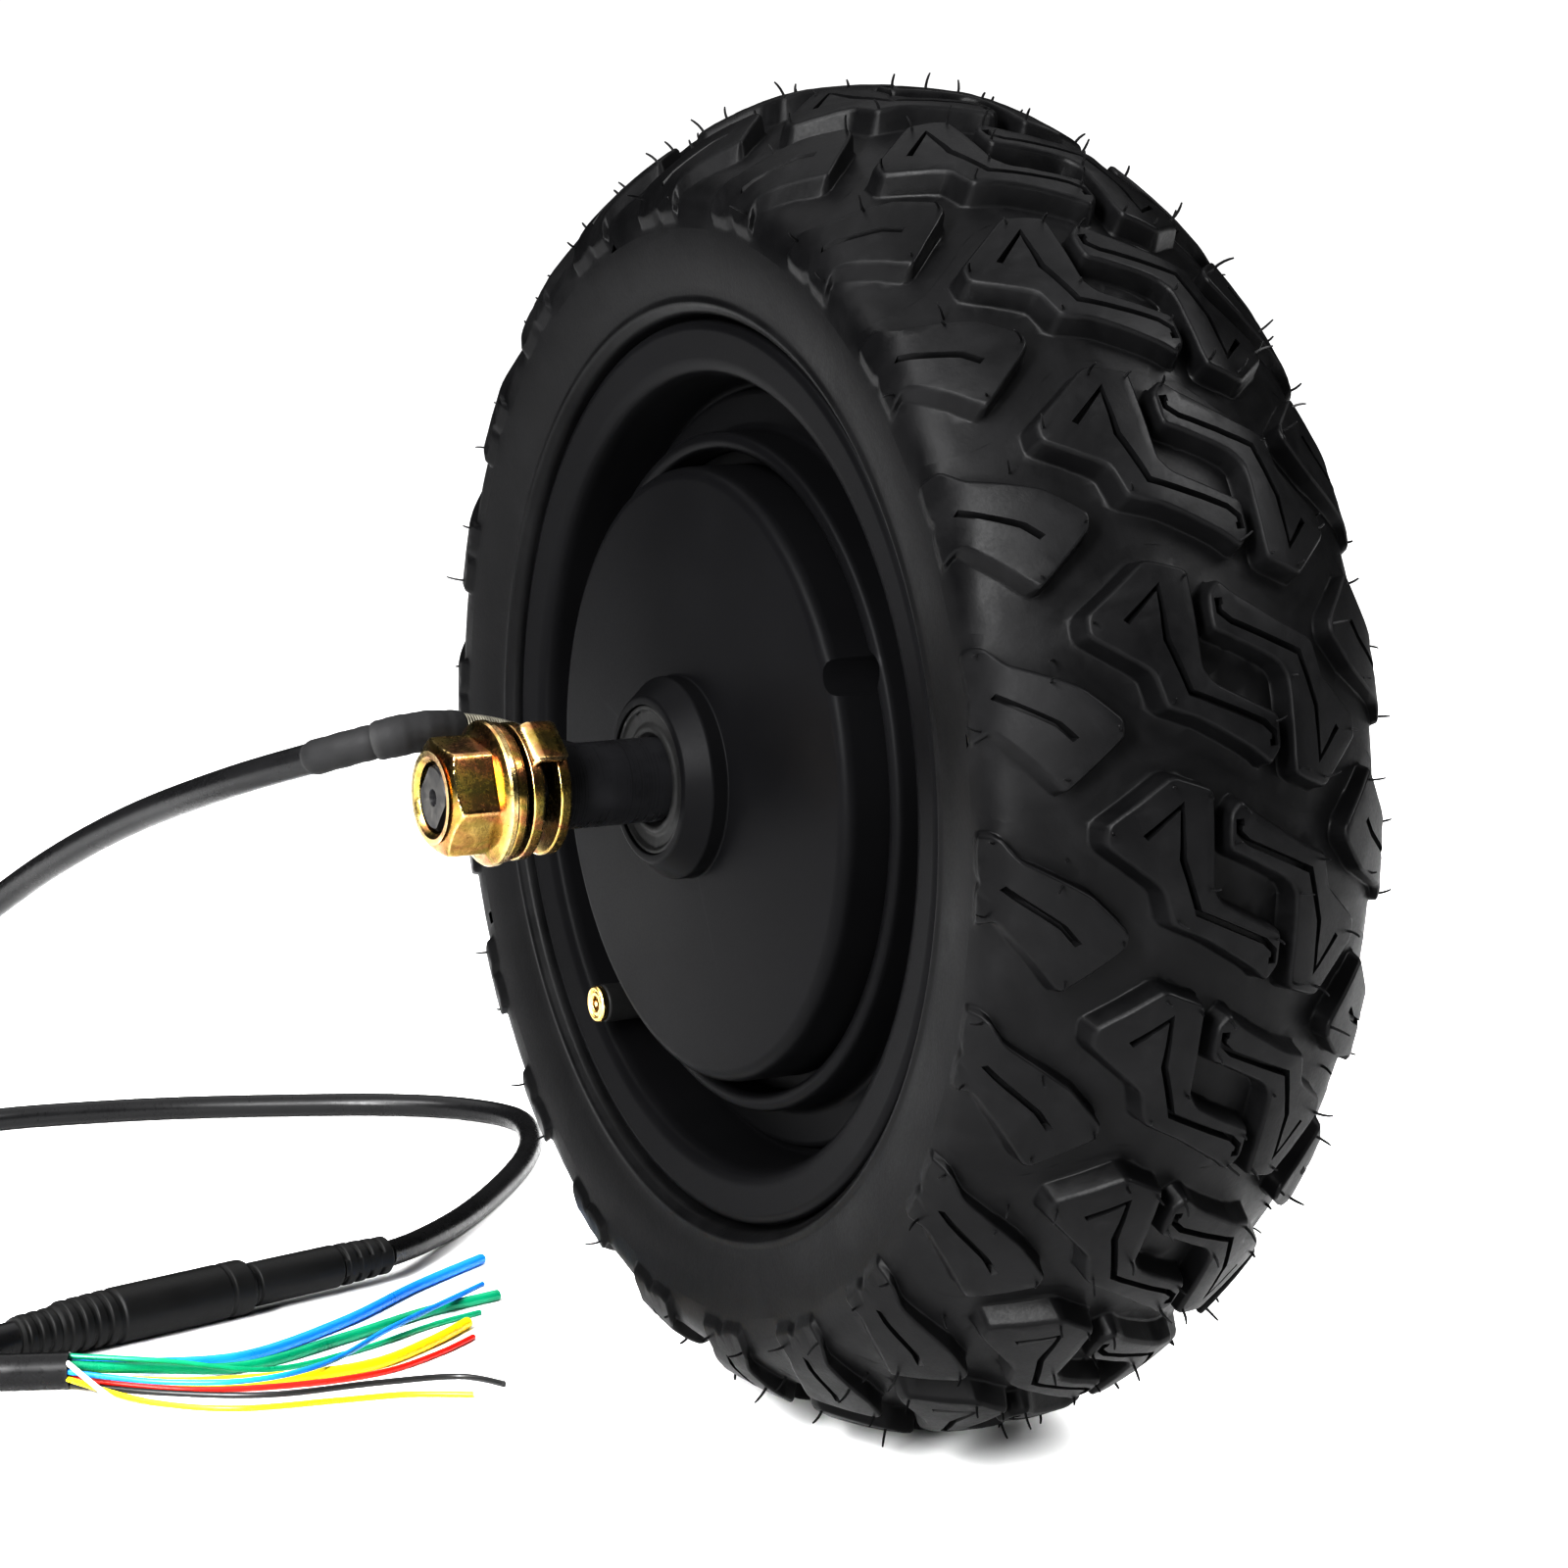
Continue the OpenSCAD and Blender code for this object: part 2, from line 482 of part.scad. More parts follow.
// ---- tail cable with its stripped end, and the nine wires ----
tail_route = [[-132.8, -146.2, -131], [-130.5, -156, -131.4], [-130.5, -166, -132.4], [-136, -176, -133.5],
  [-149, -186, -133.5], [-168, -196, -133.5], [-192, -208, -133.5], [-207, -230, -133.5],
  [-203, -256, -133.5],
  [-180, -270, -133.5], [-154, -262, -133.5], [-139, -239, -133.5], [-132, -211, -133.5],
  [-126, -184, -133.5],
  [-120, -162, -133.5], [-114.5, -150, -133.5], [-110, -141, -133.5]];
module tail_cable() { color([0.03, 0.03, 0.03]) tube(route(tail_route, 0, 16, 1), tail_r, 10); }
module wire(P, r) { tube(route(P, 0, len(P) - 1, 1), r, 8); }
blue_route = [[-111.56, -140.22, -132.6], [-109.5, -124, -134.6], [-109, -101, -136.2], [-124, -72, -136.2],
  [-145, -45, -136.2], [-161, -21, -136.2]];
green_route = [[-109.2, -141.4, -132.45], [-104, -126, -133.9], [-101, -104, -136.2], [-111, -77, -136.2],
  [-122, -52, -136.2], [-127, -32, -136.2]];
yellow_route = [[-110, -141, -135.25], [-96, -121, -136.2], [-88, -99, -136.2], [-87, -80, -136.2],
  [-97, -62, -136.2], [-108, -48, -136.2]];
thin_green_route = [[-110.31, -140.84, -130.5], [-100, -123, -131.9], [-95, -101, -136], [-102, -77, -136.8],
  [-112, -56, -136.8], [-117, -41, -136.8]];
thin_blue_route = [[-107.36, -142.32, -133.15], [-92, -127, -134], [-82, -110, -133.9], [-86, -91, -133.9],
  [-106, -67, -133.9], [-131, -34, -134.2]];
red_route = [[-108.3, -141.85, -134.8], [-92, -121, -136.6], [-83, -99, -136.8], [-82, -80, -136.8],
  [-89, -64, -136.8], [-98, -51, -136.8]];
black_route = [[-108.44, -141.78, -136.25], [-92, -125, -136.8], [-79, -107, -136.8], [-75, -84, -136.8],
  [-70, -67, -136.8], [-59, -61, -136.8]];
thin_yellow_route = [[-107.1, -142.44, -134.65], [-88, -131, -136.8], [-73, -117, -136.8], [-67, -97, -136.8],
  [-63, -82, -136.8], [-55, -70, -136.8]];
white_route = [[-107.77, -142.12, -131.3], [-82, -136, -136.8], [-60, -125, -136.8], [-44, -112, -136.8],
  [-36, -97, -136.8], [-31, -80, -136.8]];
module wire_blue() { color([0.1, 0.5, 0.85]) wire(blue_route, thick_r); }
module wire_green() { color([0, 0.6, 0.42]) wire(green_route, thick_r); }
module wire_yellow() { color([0.95, 0.85, 0.1]) wire(yellow_route, thick_r); }
module wire_thin_blue() { color([0.15, 0.55, 0.85]) wire(thin_blue_route, thin_r); }
module wire_thin_green() { color([0, 0.6, 0.42]) wire(thin_green_route, thin_r); }
module wire_red() { color([0.85, 0.12, 0.08]) wire(red_route, thin_r); }
module wire_black() { color([0.05, 0.05, 0.05]) wire(black_route, thin_r); }
module wire_thin_yellow() { color([0.95, 0.88, 0.25]) wire(thin_yellow_route, thin_r); }
module wire_white() { color([0.92, 0.92, 0.9]) wire(white_route, thin_r); }

tyre();
rim_hub();
cable_side_cover();
disc_side_cover();
cover_screws();
cable_cover_ring();
disc_cover_ring();
flux_ring();
magnets();
cable_side_oil_seal();
disc_side_oil_seal();
cable_side_bearing_outer();
disc_side_bearing_outer();
cable_side_bearing_shields();
disc_side_bearing_shields();
valve_stem();
valve_rubber();
valve_nut();
valve_core();
cable_side_balls();
cable_side_cage();
disc_side_balls();
disc_side_cage();
axle();
shaft_key();
stator_spider();
stator_core();
windings();
insulator_cable_side();
insulator_disc_side();
hall_board();
hall_sensors();
phase_leads();
hall_leads();
cable_side_bearing_inner();
disc_side_bearing_inner();
cable_side_nut();
disc_side_nut();
cable_side_washer();
disc_side_washer();
cable_side_tab_washer();
disc_side_tab_washer();
cable_side_flat_washer();
disc_side_flat_washer();
cable_spring();
large_sleeve();
small_sleeve();
motor_cable();
connector_plug();
connector_socket();
tail_cable();
wire_blue();
wire_green();
wire_yellow();
wire_thin_blue();
wire_thin_green();
wire_red();
wire_black();
wire_thin_yellow();
wire_white();
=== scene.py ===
"""Hub motor wheel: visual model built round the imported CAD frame.

Metres, origin at the wheel's centre, axle along Y. Tables and drawings are in mm.
"""
import json
import math
import random

import bmesh
import bpy
from mathutils import Matrix, Vector
from mathutils.geometry import delaunay_2d_cdt


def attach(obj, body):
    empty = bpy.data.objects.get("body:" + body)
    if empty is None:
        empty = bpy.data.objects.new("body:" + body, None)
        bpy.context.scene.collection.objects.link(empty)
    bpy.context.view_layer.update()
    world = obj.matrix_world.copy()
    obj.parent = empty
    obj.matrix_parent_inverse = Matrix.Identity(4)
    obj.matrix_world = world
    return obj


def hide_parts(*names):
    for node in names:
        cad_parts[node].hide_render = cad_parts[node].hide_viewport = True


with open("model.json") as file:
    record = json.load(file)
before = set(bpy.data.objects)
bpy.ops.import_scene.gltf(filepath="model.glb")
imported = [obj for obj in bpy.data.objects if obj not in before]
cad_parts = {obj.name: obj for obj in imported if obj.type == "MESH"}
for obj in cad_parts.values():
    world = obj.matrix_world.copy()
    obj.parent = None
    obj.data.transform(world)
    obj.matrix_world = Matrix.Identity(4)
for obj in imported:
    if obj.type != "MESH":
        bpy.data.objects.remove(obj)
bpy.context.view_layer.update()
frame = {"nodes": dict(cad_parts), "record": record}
rng = random.Random(7)
MM = 0.001
FLOOR_Z = -0.1375
UP = Vector((0, 0, 1))


def add_object(name, data):
    obj = bpy.data.objects.new(name, data)
    bpy.context.scene.collection.objects.link(obj)
    return obj


# ---- camera
camera_data = bpy.data.cameras.new("camera")
camera_data.lens = 90
camera_data.sensor_width = 36
camera_data.shift_x = -0.0506
camera_data.shift_y = -0.0144
camera_data.clip_start = 0.02
camera_data.clip_end = 60
camera = add_object("camera", camera_data)
right = Vector((0.4916, 0.8706, -0.0172)).normalized()
forward = Vector((-0.8655, 0.4864, -0.1200)).normalized()
up = right.cross(forward).normalized()
right = forward.cross(up).normalized()
camera.matrix_world = Matrix((
    (right.x, up.x, -forward.x, 0.6990),
    (right.y, up.y, -forward.y, -0.3953),
    (right.z, up.z, -forward.z, 0.0969),
    (0, 0, 0, 1),
))
bpy.context.scene.camera = camera


# ---- node materials
class Material:
    """A material in the making, with its shader and its object coordinates."""

    def __init__(self, name):
        self.made = bpy.data.materials.new(name)
        self.made.use_nodes = True
        self.tree = self.made.node_tree
        self.shader = self.tree.nodes["Principled BSDF"]
        self.coords = self.tree.nodes.new("ShaderNodeTexCoord").outputs["Object"]

    def fill(self, node, inputs):
        """Sets inputs to numbers and colours, or links them to another node's output."""
        for key, x in inputs.items():
            socket = node.inputs[key]
            if isinstance(x, bpy.types.NodeSocket):
                self.tree.links.new(x, socket)
            else:
                socket.default_value = (*x, 1) if socket.type == "RGBA" else x

    def node(self, kind, inputs, **settings):
        node = self.tree.nodes.new("ShaderNode" + kind)
        for key, x in settings.items():
            setattr(node, key, x)
        self.fill(node, inputs)
        return node

    def finish(self, colour, rough, metal=0.0, spec=0.5, coat=0.0):
        self.fill(self.shader, {"Base Color": colour, "Roughness": rough, "Metallic": metal,
                                "Specular IOR Level": spec, "Coat Weight": coat, "Coat Roughness": 0.12})
        return self.made


def noise(m, scale, detail=4, rough=0.5, stretch=None, distortion=0.0):
    place = m.coords
    if stretch:
        place = m.node("Mapping", {"Vector": place, "Scale": stretch}).outputs["Vector"]
    return m.node("TexNoise", {"Vector": place, "Scale": scale, "Detail": detail, "Roughness": rough,
                               "Distortion": distortion}).outputs["Fac"]


def ramp(m, fac, stops):
    """Colours along a texture's value, from stops of (value, colour)."""
    node = m.node("ValToRGB", {"Fac": fac})
    points = node.color_ramp.elements
    points[0].position, points[0].color = stops[0][0], (*stops[0][1], 1)
    points[1].position, points[1].color = stops[-1][0], (*stops[-1][1], 1)
    for pos, col in stops[1:-1]:
        points.new(pos).color = (*col, 1)
    return node.outputs["Color"]


def span(m, fac, low, high, start=0.3, end=0.7):
    """A value that runs from low to high while fac runs from start to end."""
    return m.node("MapRange", {"Value": fac, "From Min": start, "From Max": end, "To Min": low,
                               "To Max": high}).outputs["Result"]


def calc(m, op, a, b):
    return m.node("Math", {0: a, 1: b}, operation=op, use_clamp=True).outputs["Value"]


def mix(m, fac, a, b):
    return m.node("Mix", {0: fac, 6: a, 7: b}, data_type="RGBA").outputs[2]


def edges(m, low, high):
    """How strongly a point lies on a convex edge, from 0 to 1."""
    return span(m, m.node("NewGeometry", {}).outputs["Pointiness"], 0.0, 1.0, low, high)


def chipped(m, wear, texture, least, most=1.0, start=0.35, end=0.6):
    """Worn edges broken up by a texture, from 0 to 1."""
    return calc(m, "MULTIPLY", edges(m, *wear), span(m, texture, least, most, start, end))


def uneven(m, first, second):
    """The sum of two textures, each given as (texture, low, high)."""
    return calc(m, "ADD", span(m, *first), span(m, *second))


def bump(m, height, strength, distance, prior=None):
    inputs = {"Height": height, "Strength": strength, "Distance": distance}
    if prior is not None:
        inputs["Normal"] = prior
    normal = m.node("Bump", inputs).outputs["Normal"]
    m.fill(m.shader, {"Normal": normal})
    return normal


def plain_material(name, base, worn, rough, metal=0.0, grain=900, depth=0.00004, spec=0.5, patch=60,
                   wear=(0.52, 0.60), coat=0.0):
    """Base colour with soft patches, worn edges, uneven roughness and a fine grain."""
    m = Material(name)
    patches, fine = noise(m, patch, 5, 0.6), noise(m, grain, 3, 0.6)
    body = ramp(m, patches, [(0.3, tuple(c * 0.78 for c in base)), (0.5, base),
                             (0.72, tuple(min(1.0, c * 1.2) for c in base))])
    bump(m, fine, 0.5, depth)
    colour = mix(m, chipped(m, wear, noise(m, 260, 3), 0.25), body, worn)
    return m.finish(colour, uneven(m, (patches, *rough), (fine, -0.04, 0.04)), metal, spec, coat)


def tyre_material():
    m = Material("tyre_rubber")
    broad, fine = noise(m, 14, 4, 0.6), noise(m, 1500, 3, 0.55)
    smear = noise(m, 55, 6, 0.65, distortion=0.6)
    body = ramp(m, smear, [(0.25, (0.0022, 0.0022, 0.0025)), (0.5, (0.0042, 0.0042, 0.0045)),
                           (0.8, (0.008, 0.008, 0.0085))])
    scuff = chipped(m, (0.53, 0.66), noise(m, 300, 3), 0.0, 0.8, 0.4, 0.65)
    gloss = uneven(m, (broad, 0.34, 0.50), (smear, -0.05, 0.07))
    bump(m, fine, 0.35, 0.00006, bump(m, smear, 0.25, 0.0004))
    return m.finish(mix(m, scuff, body, (0.016, 0.016, 0.0165)),
                    calc(m, "ADD", gloss, span(m, fine, -0.03, 0.03)), spec=0.1)


def coat_material():
    """Satin black powder coat: fine orange peel, slightly shinier and paler on its rounded edges."""
    m = Material("black_coat")
    broad, peel = noise(m, 22, 4, 0.5), noise(m, 2100, 2, 0.5)
    body = ramp(m, broad, [(0.3, (0.0032, 0.0032, 0.0036)), (0.55, (0.0045, 0.0045, 0.005)),
                           (0.8, (0.0062, 0.0062, 0.0068))])
    edge = edges(m, 0.545, 0.62)
    level = uneven(m, (broad, 0.36, 0.46), (peel, -0.02, 0.03))
    bump(m, peel, 0.22, 0.00003)
    return m.finish(mix(m, calc(m, "MULTIPLY", edge, 0.7), body, (0.011, 0.011, 0.012)),
                    calc(m, "SUBTRACT", level, calc(m, "MULTIPLY", edge, 0.1)), spec=0.05)


def zinc_material(name, shift):
    """Yellow chromated zinc: gold with olive, pink and brown stains, paler worn edges."""
    m = Material(name)
    stain, fine = noise(m, 130, 5, 0.6, distortion=1.6), noise(m, 1300, 3, 0.6)
    tint = noise(m, 75, 3, 0.5, stretch=(1.0, 0.35, 1.0), distortion=2.4)
    gold = ramp(m, stain, [(0.25 + shift, (0.07, 0.045, 0.015)), (0.42 + shift, (0.20, 0.13, 0.035)),
                           (0.58, (0.34, 0.24, 0.08)), (0.8, (0.48, 0.38, 0.19))])
    bloom = ramp(m, tint, [(0.30, (0.14, 0.19, 0.05)), (0.45, (0.32, 0.23, 0.07)),
                           (0.58, (0.40, 0.16, 0.10)), (0.75, (0.26, 0.24, 0.07))])
    edge = chipped(m, (0.52, 0.60), noise(m, 500, 2), 0.35)
    bump(m, fine, 0.35, 0.00004, bump(m, stain, 0.18, 0.0002))
    return m.finish(mix(m, edge, mix(m, 0.5, gold, bloom), (0.80, 0.70, 0.44)),
                    uneven(m, (stain, 0.32, 0.16), (fine, -0.04, 0.06)), metal=1.0)


def turned_material(name, base, worn, rough, metal=1.0, spec=0.5):
    """A lathe-turned surface: fine lines round the axle, uneven oil film and worn edges."""
    m = Material(name)
    lines, film = noise(m, 1.0, 2, 0.5, stretch=(6, 2600, 6)), noise(m, 90, 4, 0.6)
    body = ramp(m, film, [(0.3, tuple(c * 0.6 for c in base)), (0.55, base),
                          (0.8, tuple(c * 1.5 for c in base))])
    edge = chipped(m, (0.52, 0.60), noise(m, 400, 2), 0.2)
    bump(m, lines, 0.35, 0.00004)
    return m.finish(mix(m, edge, body, worn), uneven(m, (film, *rough), (lines, -0.06, 0.06)), metal, spec)


MATS = {"tyre_rubber": tyre_material(), "black_coat": coat_material(),
        "zinc_yellow": zinc_material("zinc_yellow", 0.0), "zinc_brown": zinc_material("zinc_brown", 0.12)}
# base colour, worn colour, range of roughness, then metallic and specular where they differ
TURNED = {
    "black_oxide": ((0.011, 0.011, 0.012), (0.05, 0.048, 0.045), (0.24, 0.36), 0.0, 0.12),
    "steel": ((0.50, 0.50, 0.51), (0.75, 0.75, 0.76), (0.22, 0.36)),
    "spring_steel": ((0.20, 0.19, 0.16), (0.42, 0.40, 0.34), (0.3, 0.42)),
    "aluminium": ((0.62, 0.62, 0.63), (0.8, 0.8, 0.8), (0.3, 0.42)),
    "brass": ((0.72, 0.52, 0.22), (0.9, 0.76, 0.45), (0.2, 0.34)),
}
for name, values in TURNED.items():
    MATS[name] = turned_material(name, *values)
METALS = {
    "core_steel": ((0.30, 0.31, 0.34), (0.5, 0.5, 0.52), (0.35, 0.5)),
    "magnet": ((0.60, 0.60, 0.62), (0.8, 0.8, 0.8), (0.18, 0.3)),
}
for name, values in METALS.items():
    MATS[name] = plain_material(name, *values, 1.0)
MATS["copper"] = plain_material("copper", (0.62, 0.25, 0.09), (0.8, 0.45, 0.2), (0.25, 0.4), 1.0, coat=0.4)
MATS["insulator"] = plain_material("insulator", (0.72, 0.70, 0.62), (0.85, 0.84, 0.8), (0.4, 0.5))
MATS["board_green"] = plain_material("board_green", (0.03, 0.20, 0.07), (0.3, 0.4, 0.2), (0.25, 0.35),
                                     coat=0.5)
# grey and blue level of the base, worn level, range of roughness, grain, its depth, specular, patch size
DARK_PLASTICS = {
    "black_rubber": (0.010, 0.010, 0.035, (0.42, 0.56), 1100, 0.00006, 0.2, 60),
    "cable_black": (0.008, 0.0085, 0.02, (0.24, 0.34), 700, 0.00003, 0.25, 30),
    "sleeve_black": (0.013, 0.0135, 0.03, (0.55, 0.68), 1600, 0.00005, 0.2, 60),
}
for name, (grey, blue, worn, rough, grain, depth, spec, patch) in DARK_PLASTICS.items():
    MATS[name] = plain_material(name, (grey, grey, blue), (worn,) * 3, rough, 0.0, grain, depth, spec, patch)
WIRE_COLOURS = {
    "lead_colour": (0.08, 0.14, 0.55), "wire_blue": (0.015, 0.24, 0.72), "wire_green": (0.0, 0.24, 0.13),
    "wire_yellow": (0.92, 0.68, 0.01), "wire_red": (0.62, 0.02, 0.01), "wire_black": (0.012, 0.012, 0.012),
    "wire_white": (0.82, 0.80, 0.74),
}
for name, base in WIRE_COLOURS.items():
    MATS[name] = plain_material(name, base, tuple(min(1.0, c * 1.15 + 0.05) for c in base), (0.26, 0.38),
                                grain=1400, depth=0.00002, patch=45, wear=(0.6, 0.9))


# ---- cords
def catmull(a, b, c, d, t):
    return 0.5 * (2 * b + (c - a) * t + (2 * a - 5 * b + 4 * c - d) * t * t
                  + (3 * b - a - 3 * c + d) * t * t * t)


def along(route, first, last, steps):
    """Points on the route's smooth curve from point first to point last."""
    pts = [Vector(p) * MM for p in route]
    out = []
    for i in range(first, last):
        for k in range(steps):
            out.append(catmull(pts[max(i - 1, 0)], pts[i], pts[i + 1], pts[min(i + 2, len(pts) - 1)],
                               k / steps))
    out.append(pts[last])
    return out


def length_of(pts):
    return sum((b - a).length for a, b in zip(pts, pts[1:]))


def curve_piece(name, route, radius, mat, node, sides=8):
    """One smooth open curve through the route's points, as a cable or a wire."""
    data = bpy.data.curves.new(name, "CURVE")
    data.dimensions = "3D"
    data.bevel_depth = radius * MM
    data.bevel_resolution = sides
    data.resolution_u = 10
    data.use_fill_caps = True
    spline = data.splines.new("BEZIER")
    spline.bezier_points.add(len(route) - 1)
    pts = [Vector(p) * MM for p in route]
    for i, (p, bp) in enumerate(zip(pts, spline.bezier_points)):
        tangent = (pts[min(i + 1, len(pts) - 1)] - pts[max(i - 1, 0)]) / 6
        bp.co, bp.handle_left, bp.handle_right = p, p - tangent, p + tangent
    data.materials.append(MATS[mat])
    piece = add_object(name, data)
    finish_piece(piece, "stator", node)
    return piece


CABLE_ROUTE = [
    (-2.7, -50.5, 0.7), (-8.2, -56.5, 2.2), (-13, -62.5, 3.9), (-15.8, -69, 6.2), (-16.6, -77, 9),
    (-16.7, -85, 10.6), (-17.2, -93, 11), (-20.6, -101.5, 9.4), (-32, -111, 5.5), (-55, -120, -1),
    (-90, -127, -11), (-120, -133.5, -22), (-150, -140, -35.5), (-190, -152, -58), (-230, -163, -84),
    (-268, -171, -108), (-304, -172, -126), (-338, -160, -134), (-364, -134, -134.3), (-378, -103, -134.3),
    (-380, -74, -134.3), (-375, -50, -134.3), (-366, -25, -134.3), (-352, 2, -134.3), (-337, 26, -134.3),
    (-319, 43, -134.3), (-297, 50, -134.3), (-272, 43, -134.3), (-246, 29, -134.3), (-217, 8, -134.2),
    (-192, -13, -133.8), (-171, -33, -132.5), (-158.6, -47.1, -131.2)
]
TAIL_ROUTE = [
    (-132.8, -146.2, -131), (-130.5, -156, -131.4), (-130.5, -166, -132.4), (-136, -176, -133.5),
    (-149, -186, -133.5), (-168, -196, -133.5), (-192, -208, -133.5), (-207, -230, -133.5),
    (-203, -256, -133.5), (-180, -270, -133.5), (-154, -262, -133.5), (-139, -239, -133.5),
    (-132, -211, -133.5), (-126, -184, -133.5), (-120, -162, -133.5), (-114.5, -150, -133.5),
    (-110, -141, -133.5)
]
THICK, THIN = 1.3, 0.65
WIRES = {
    "wire_blue": ("wire_blue", THICK, [
        (-111.56, -140.22, -132.6), (-109.5, -124, -134.6), (-109, -101, -136.2), (-124, -72, -136.2),
        (-145, -45, -136.2), (-161, -21, -136.2)]),
    "wire_green": ("wire_green", THICK, [
        (-109.2, -141.4, -132.45), (-104, -126, -133.9), (-101, -104, -136.2), (-111, -77, -136.2),
        (-122, -52, -136.2), (-127, -32, -136.2)]),
    "wire_yellow": ("wire_yellow", THICK, [
        (-110, -141, -135.25), (-96, -121, -136.2), (-88, -99, -136.2), (-87, -80, -136.2),
        (-97, -62, -136.2), (-108, -48, -136.2)]),
    "wire_thin_green": ("wire_green", THIN, [
        (-110.31, -140.84, -130.5), (-100, -123, -131.9), (-95, -101, -136), (-102, -77, -136.8),
        (-112, -56, -136.8), (-117, -41, -136.8)]),
    "wire_thin_blue": ("wire_blue", THIN, [
        (-107.36, -142.32, -133.15), (-92, -127, -134), (-82, -110, -133.9), (-86, -91, -133.9),
        (-106, -67, -133.9), (-131, -34, -134.2)]),
    "wire_red": ("wire_red", THIN, [
        (-108.3, -141.85, -134.8), (-92, -121, -136.6), (-83, -99, -136.8), (-82, -80, -136.8),
        (-89, -64, -136.8), (-98, -51, -136.8)]),
    "wire_black": ("wire_black", THIN, [
        (-108.44, -141.78, -136.25), (-92, -125, -136.8), (-79, -107, -136.8), (-75, -84, -136.8),
        (-70, -67, -136.8), (-59, -61, -136.8)]),
    "wire_thin_yellow": ("wire_yellow", THIN, [
        (-107.1, -142.44, -134.65), (-88, -131, -136.8), (-73, -117, -136.8), (-67, -97, -136.8),
        (-63, -82, -136.8), (-55, -70, -136.8)]),
    "wire_white": ("wire_white", THIN, [
        (-107.77, -142.12, -131.3), (-82, -136, -136.8), (-60, -125, -136.8), (-44, -112, -136.8),
        (-36, -97, -136.8), (-31, -80, -136.8)]),
}


# ---- mesh helpers
def to_world(p, side=1):
    """Wheel drawing axes (x, y, h) in mm to the row's, in metres; side -1 turns it to the disc side."""
    x, y, h = p
    if side < 0:
        y, h = -y, -h
    return Vector((x, -h, y)) * MM


def mesh_data(name, verts, faces):
    data = bpy.data.meshes.new(name)
    data.from_pydata([tuple(v) for v in verts], [], faces)
    return data


def clean(data, join, flat=None, outwards=True):
    """Joins points closer than join, drops edges shorter than flat and turns the faces outwards."""
    made = bmesh.new()
    made.from_mesh(data)
    bmesh.ops.remove_doubles(made, verts=made.verts, dist=join)
    if flat:
        bmesh.ops.dissolve_degenerate(made, edges=made.edges, dist=flat)
    if outwards:
        bmesh.ops.recalc_face_normals(made, faces=made.faces)
    made.to_mesh(data)
    made.free()


def mesh_piece(name, verts, faces, mat, body, node=None, sharp=40, weighted=True):
    data = mesh_data(name, verts, faces)
    data.validate()
    clean(data, 1e-7, 1e-8)
    data.shade_smooth()
    data.set_sharp_from_angle(angle=math.radians(sharp))
    data.materials.append(MATS[mat])
    piece = add_object(name, data)
    if weighted:
        piece.modifiers.new("normals", "WEIGHTED_NORMAL").keep_sharp = True
    finish_piece(piece, body, node)
    return piece


def finish_piece(piece, body, node):
    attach(piece, body)
    if node:
        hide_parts(node)


def rounded(profile, radius, steps=4):
    """A closed outline with each corner turned into a small arc. A point may carry its own radius."""
    out = []
    n = len(profile)
    for i in range(n):
        p = Vector(profile[i][:2])
        r = profile[i][2] if len(profile[i]) > 2 else radius
        a, b = Vector(profile[i - 1][:2]), Vector(profile[(i + 1) % n][:2])
        la, lb = (a - p).length, (b - p).length
        cut = min(r, la * 0.45, lb * 0.45)
        if cut < 1e-4:
            out.append(tuple(p))
            continue
        s, e = p + (a - p) / la * cut, p + (b - p) / lb * cut
        for k in range(steps + 1):
            t = k / steps
            out.append(tuple(s * (1 - t) ** 2 + p * 2 * t * (1 - t) + e * t * t))
    return out


def quads(rows, count, join_rows=True, join_ends=True, first=0):
    """Faces between neighbouring rows of count points, counted from point first."""
    faces = []
    for k in range(rows if join_rows else rows - 1):
        a, b = first + k * count, first + (k + 1) % rows * count
        for i in range(count if join_ends else count - 1):
            j = (i + 1) % count
            faces.append((a + i, a + j, b + j, b + i))
    return faces


def caps(rows, count):
    """The two faces that close a turned shape at its outline's ends."""
    return [tuple(k * count for k in range(rows)),
            tuple(k * count + count - 1 for k in reversed(range(rows)))]


def circle(segs):
    return [2 * math.pi * k / segs for k in range(segs)]


def turn(profile, segs, place, closed=True, reshape=None):
    """Turns an outline of (r, h). place(x, y, h) puts a point down; reshape(a, r, h) may change r."""
    verts = []
    for a in circle(segs):
        for r, h in profile:
            q = reshape(a, r, h) if reshape else r
            verts.append(place(q * math.cos(a), q * math.sin(a), h))
    return verts, quads(segs, len(profile), True, closed)


def revolve(profile, segs=192, side=1, closed=True, reshape=None):
    """Turns an outline round the axle."""
    return turn(profile, segs, lambda x, y, h: to_world((x, y, h), side), closed, reshape)


def sweep(points, radius, sides=12, ref=UP):
    """A closed tube round the points; radius is a number or one for each point."""
    verts = []
    n = len(points)
    radii = radius if isinstance(radius, (list, tuple)) else [radius] * n
    for i, p in enumerate(points):
        t = (points[min(i + 1, n - 1)] - points[max(i - 1, 0)]).normalized()
        ref = (ref - t * ref.dot(t)).normalized()
        w = t.cross(ref)
        verts += [p + (ref * math.cos(a) + w * math.sin(a)) * radii[i] for a in circle(sides)]
    ends = [tuple(range(sides - 1, -1, -1)), tuple((n - 1) * sides + k for k in range(sides))]
    return verts, quads(n, sides, False) + ends


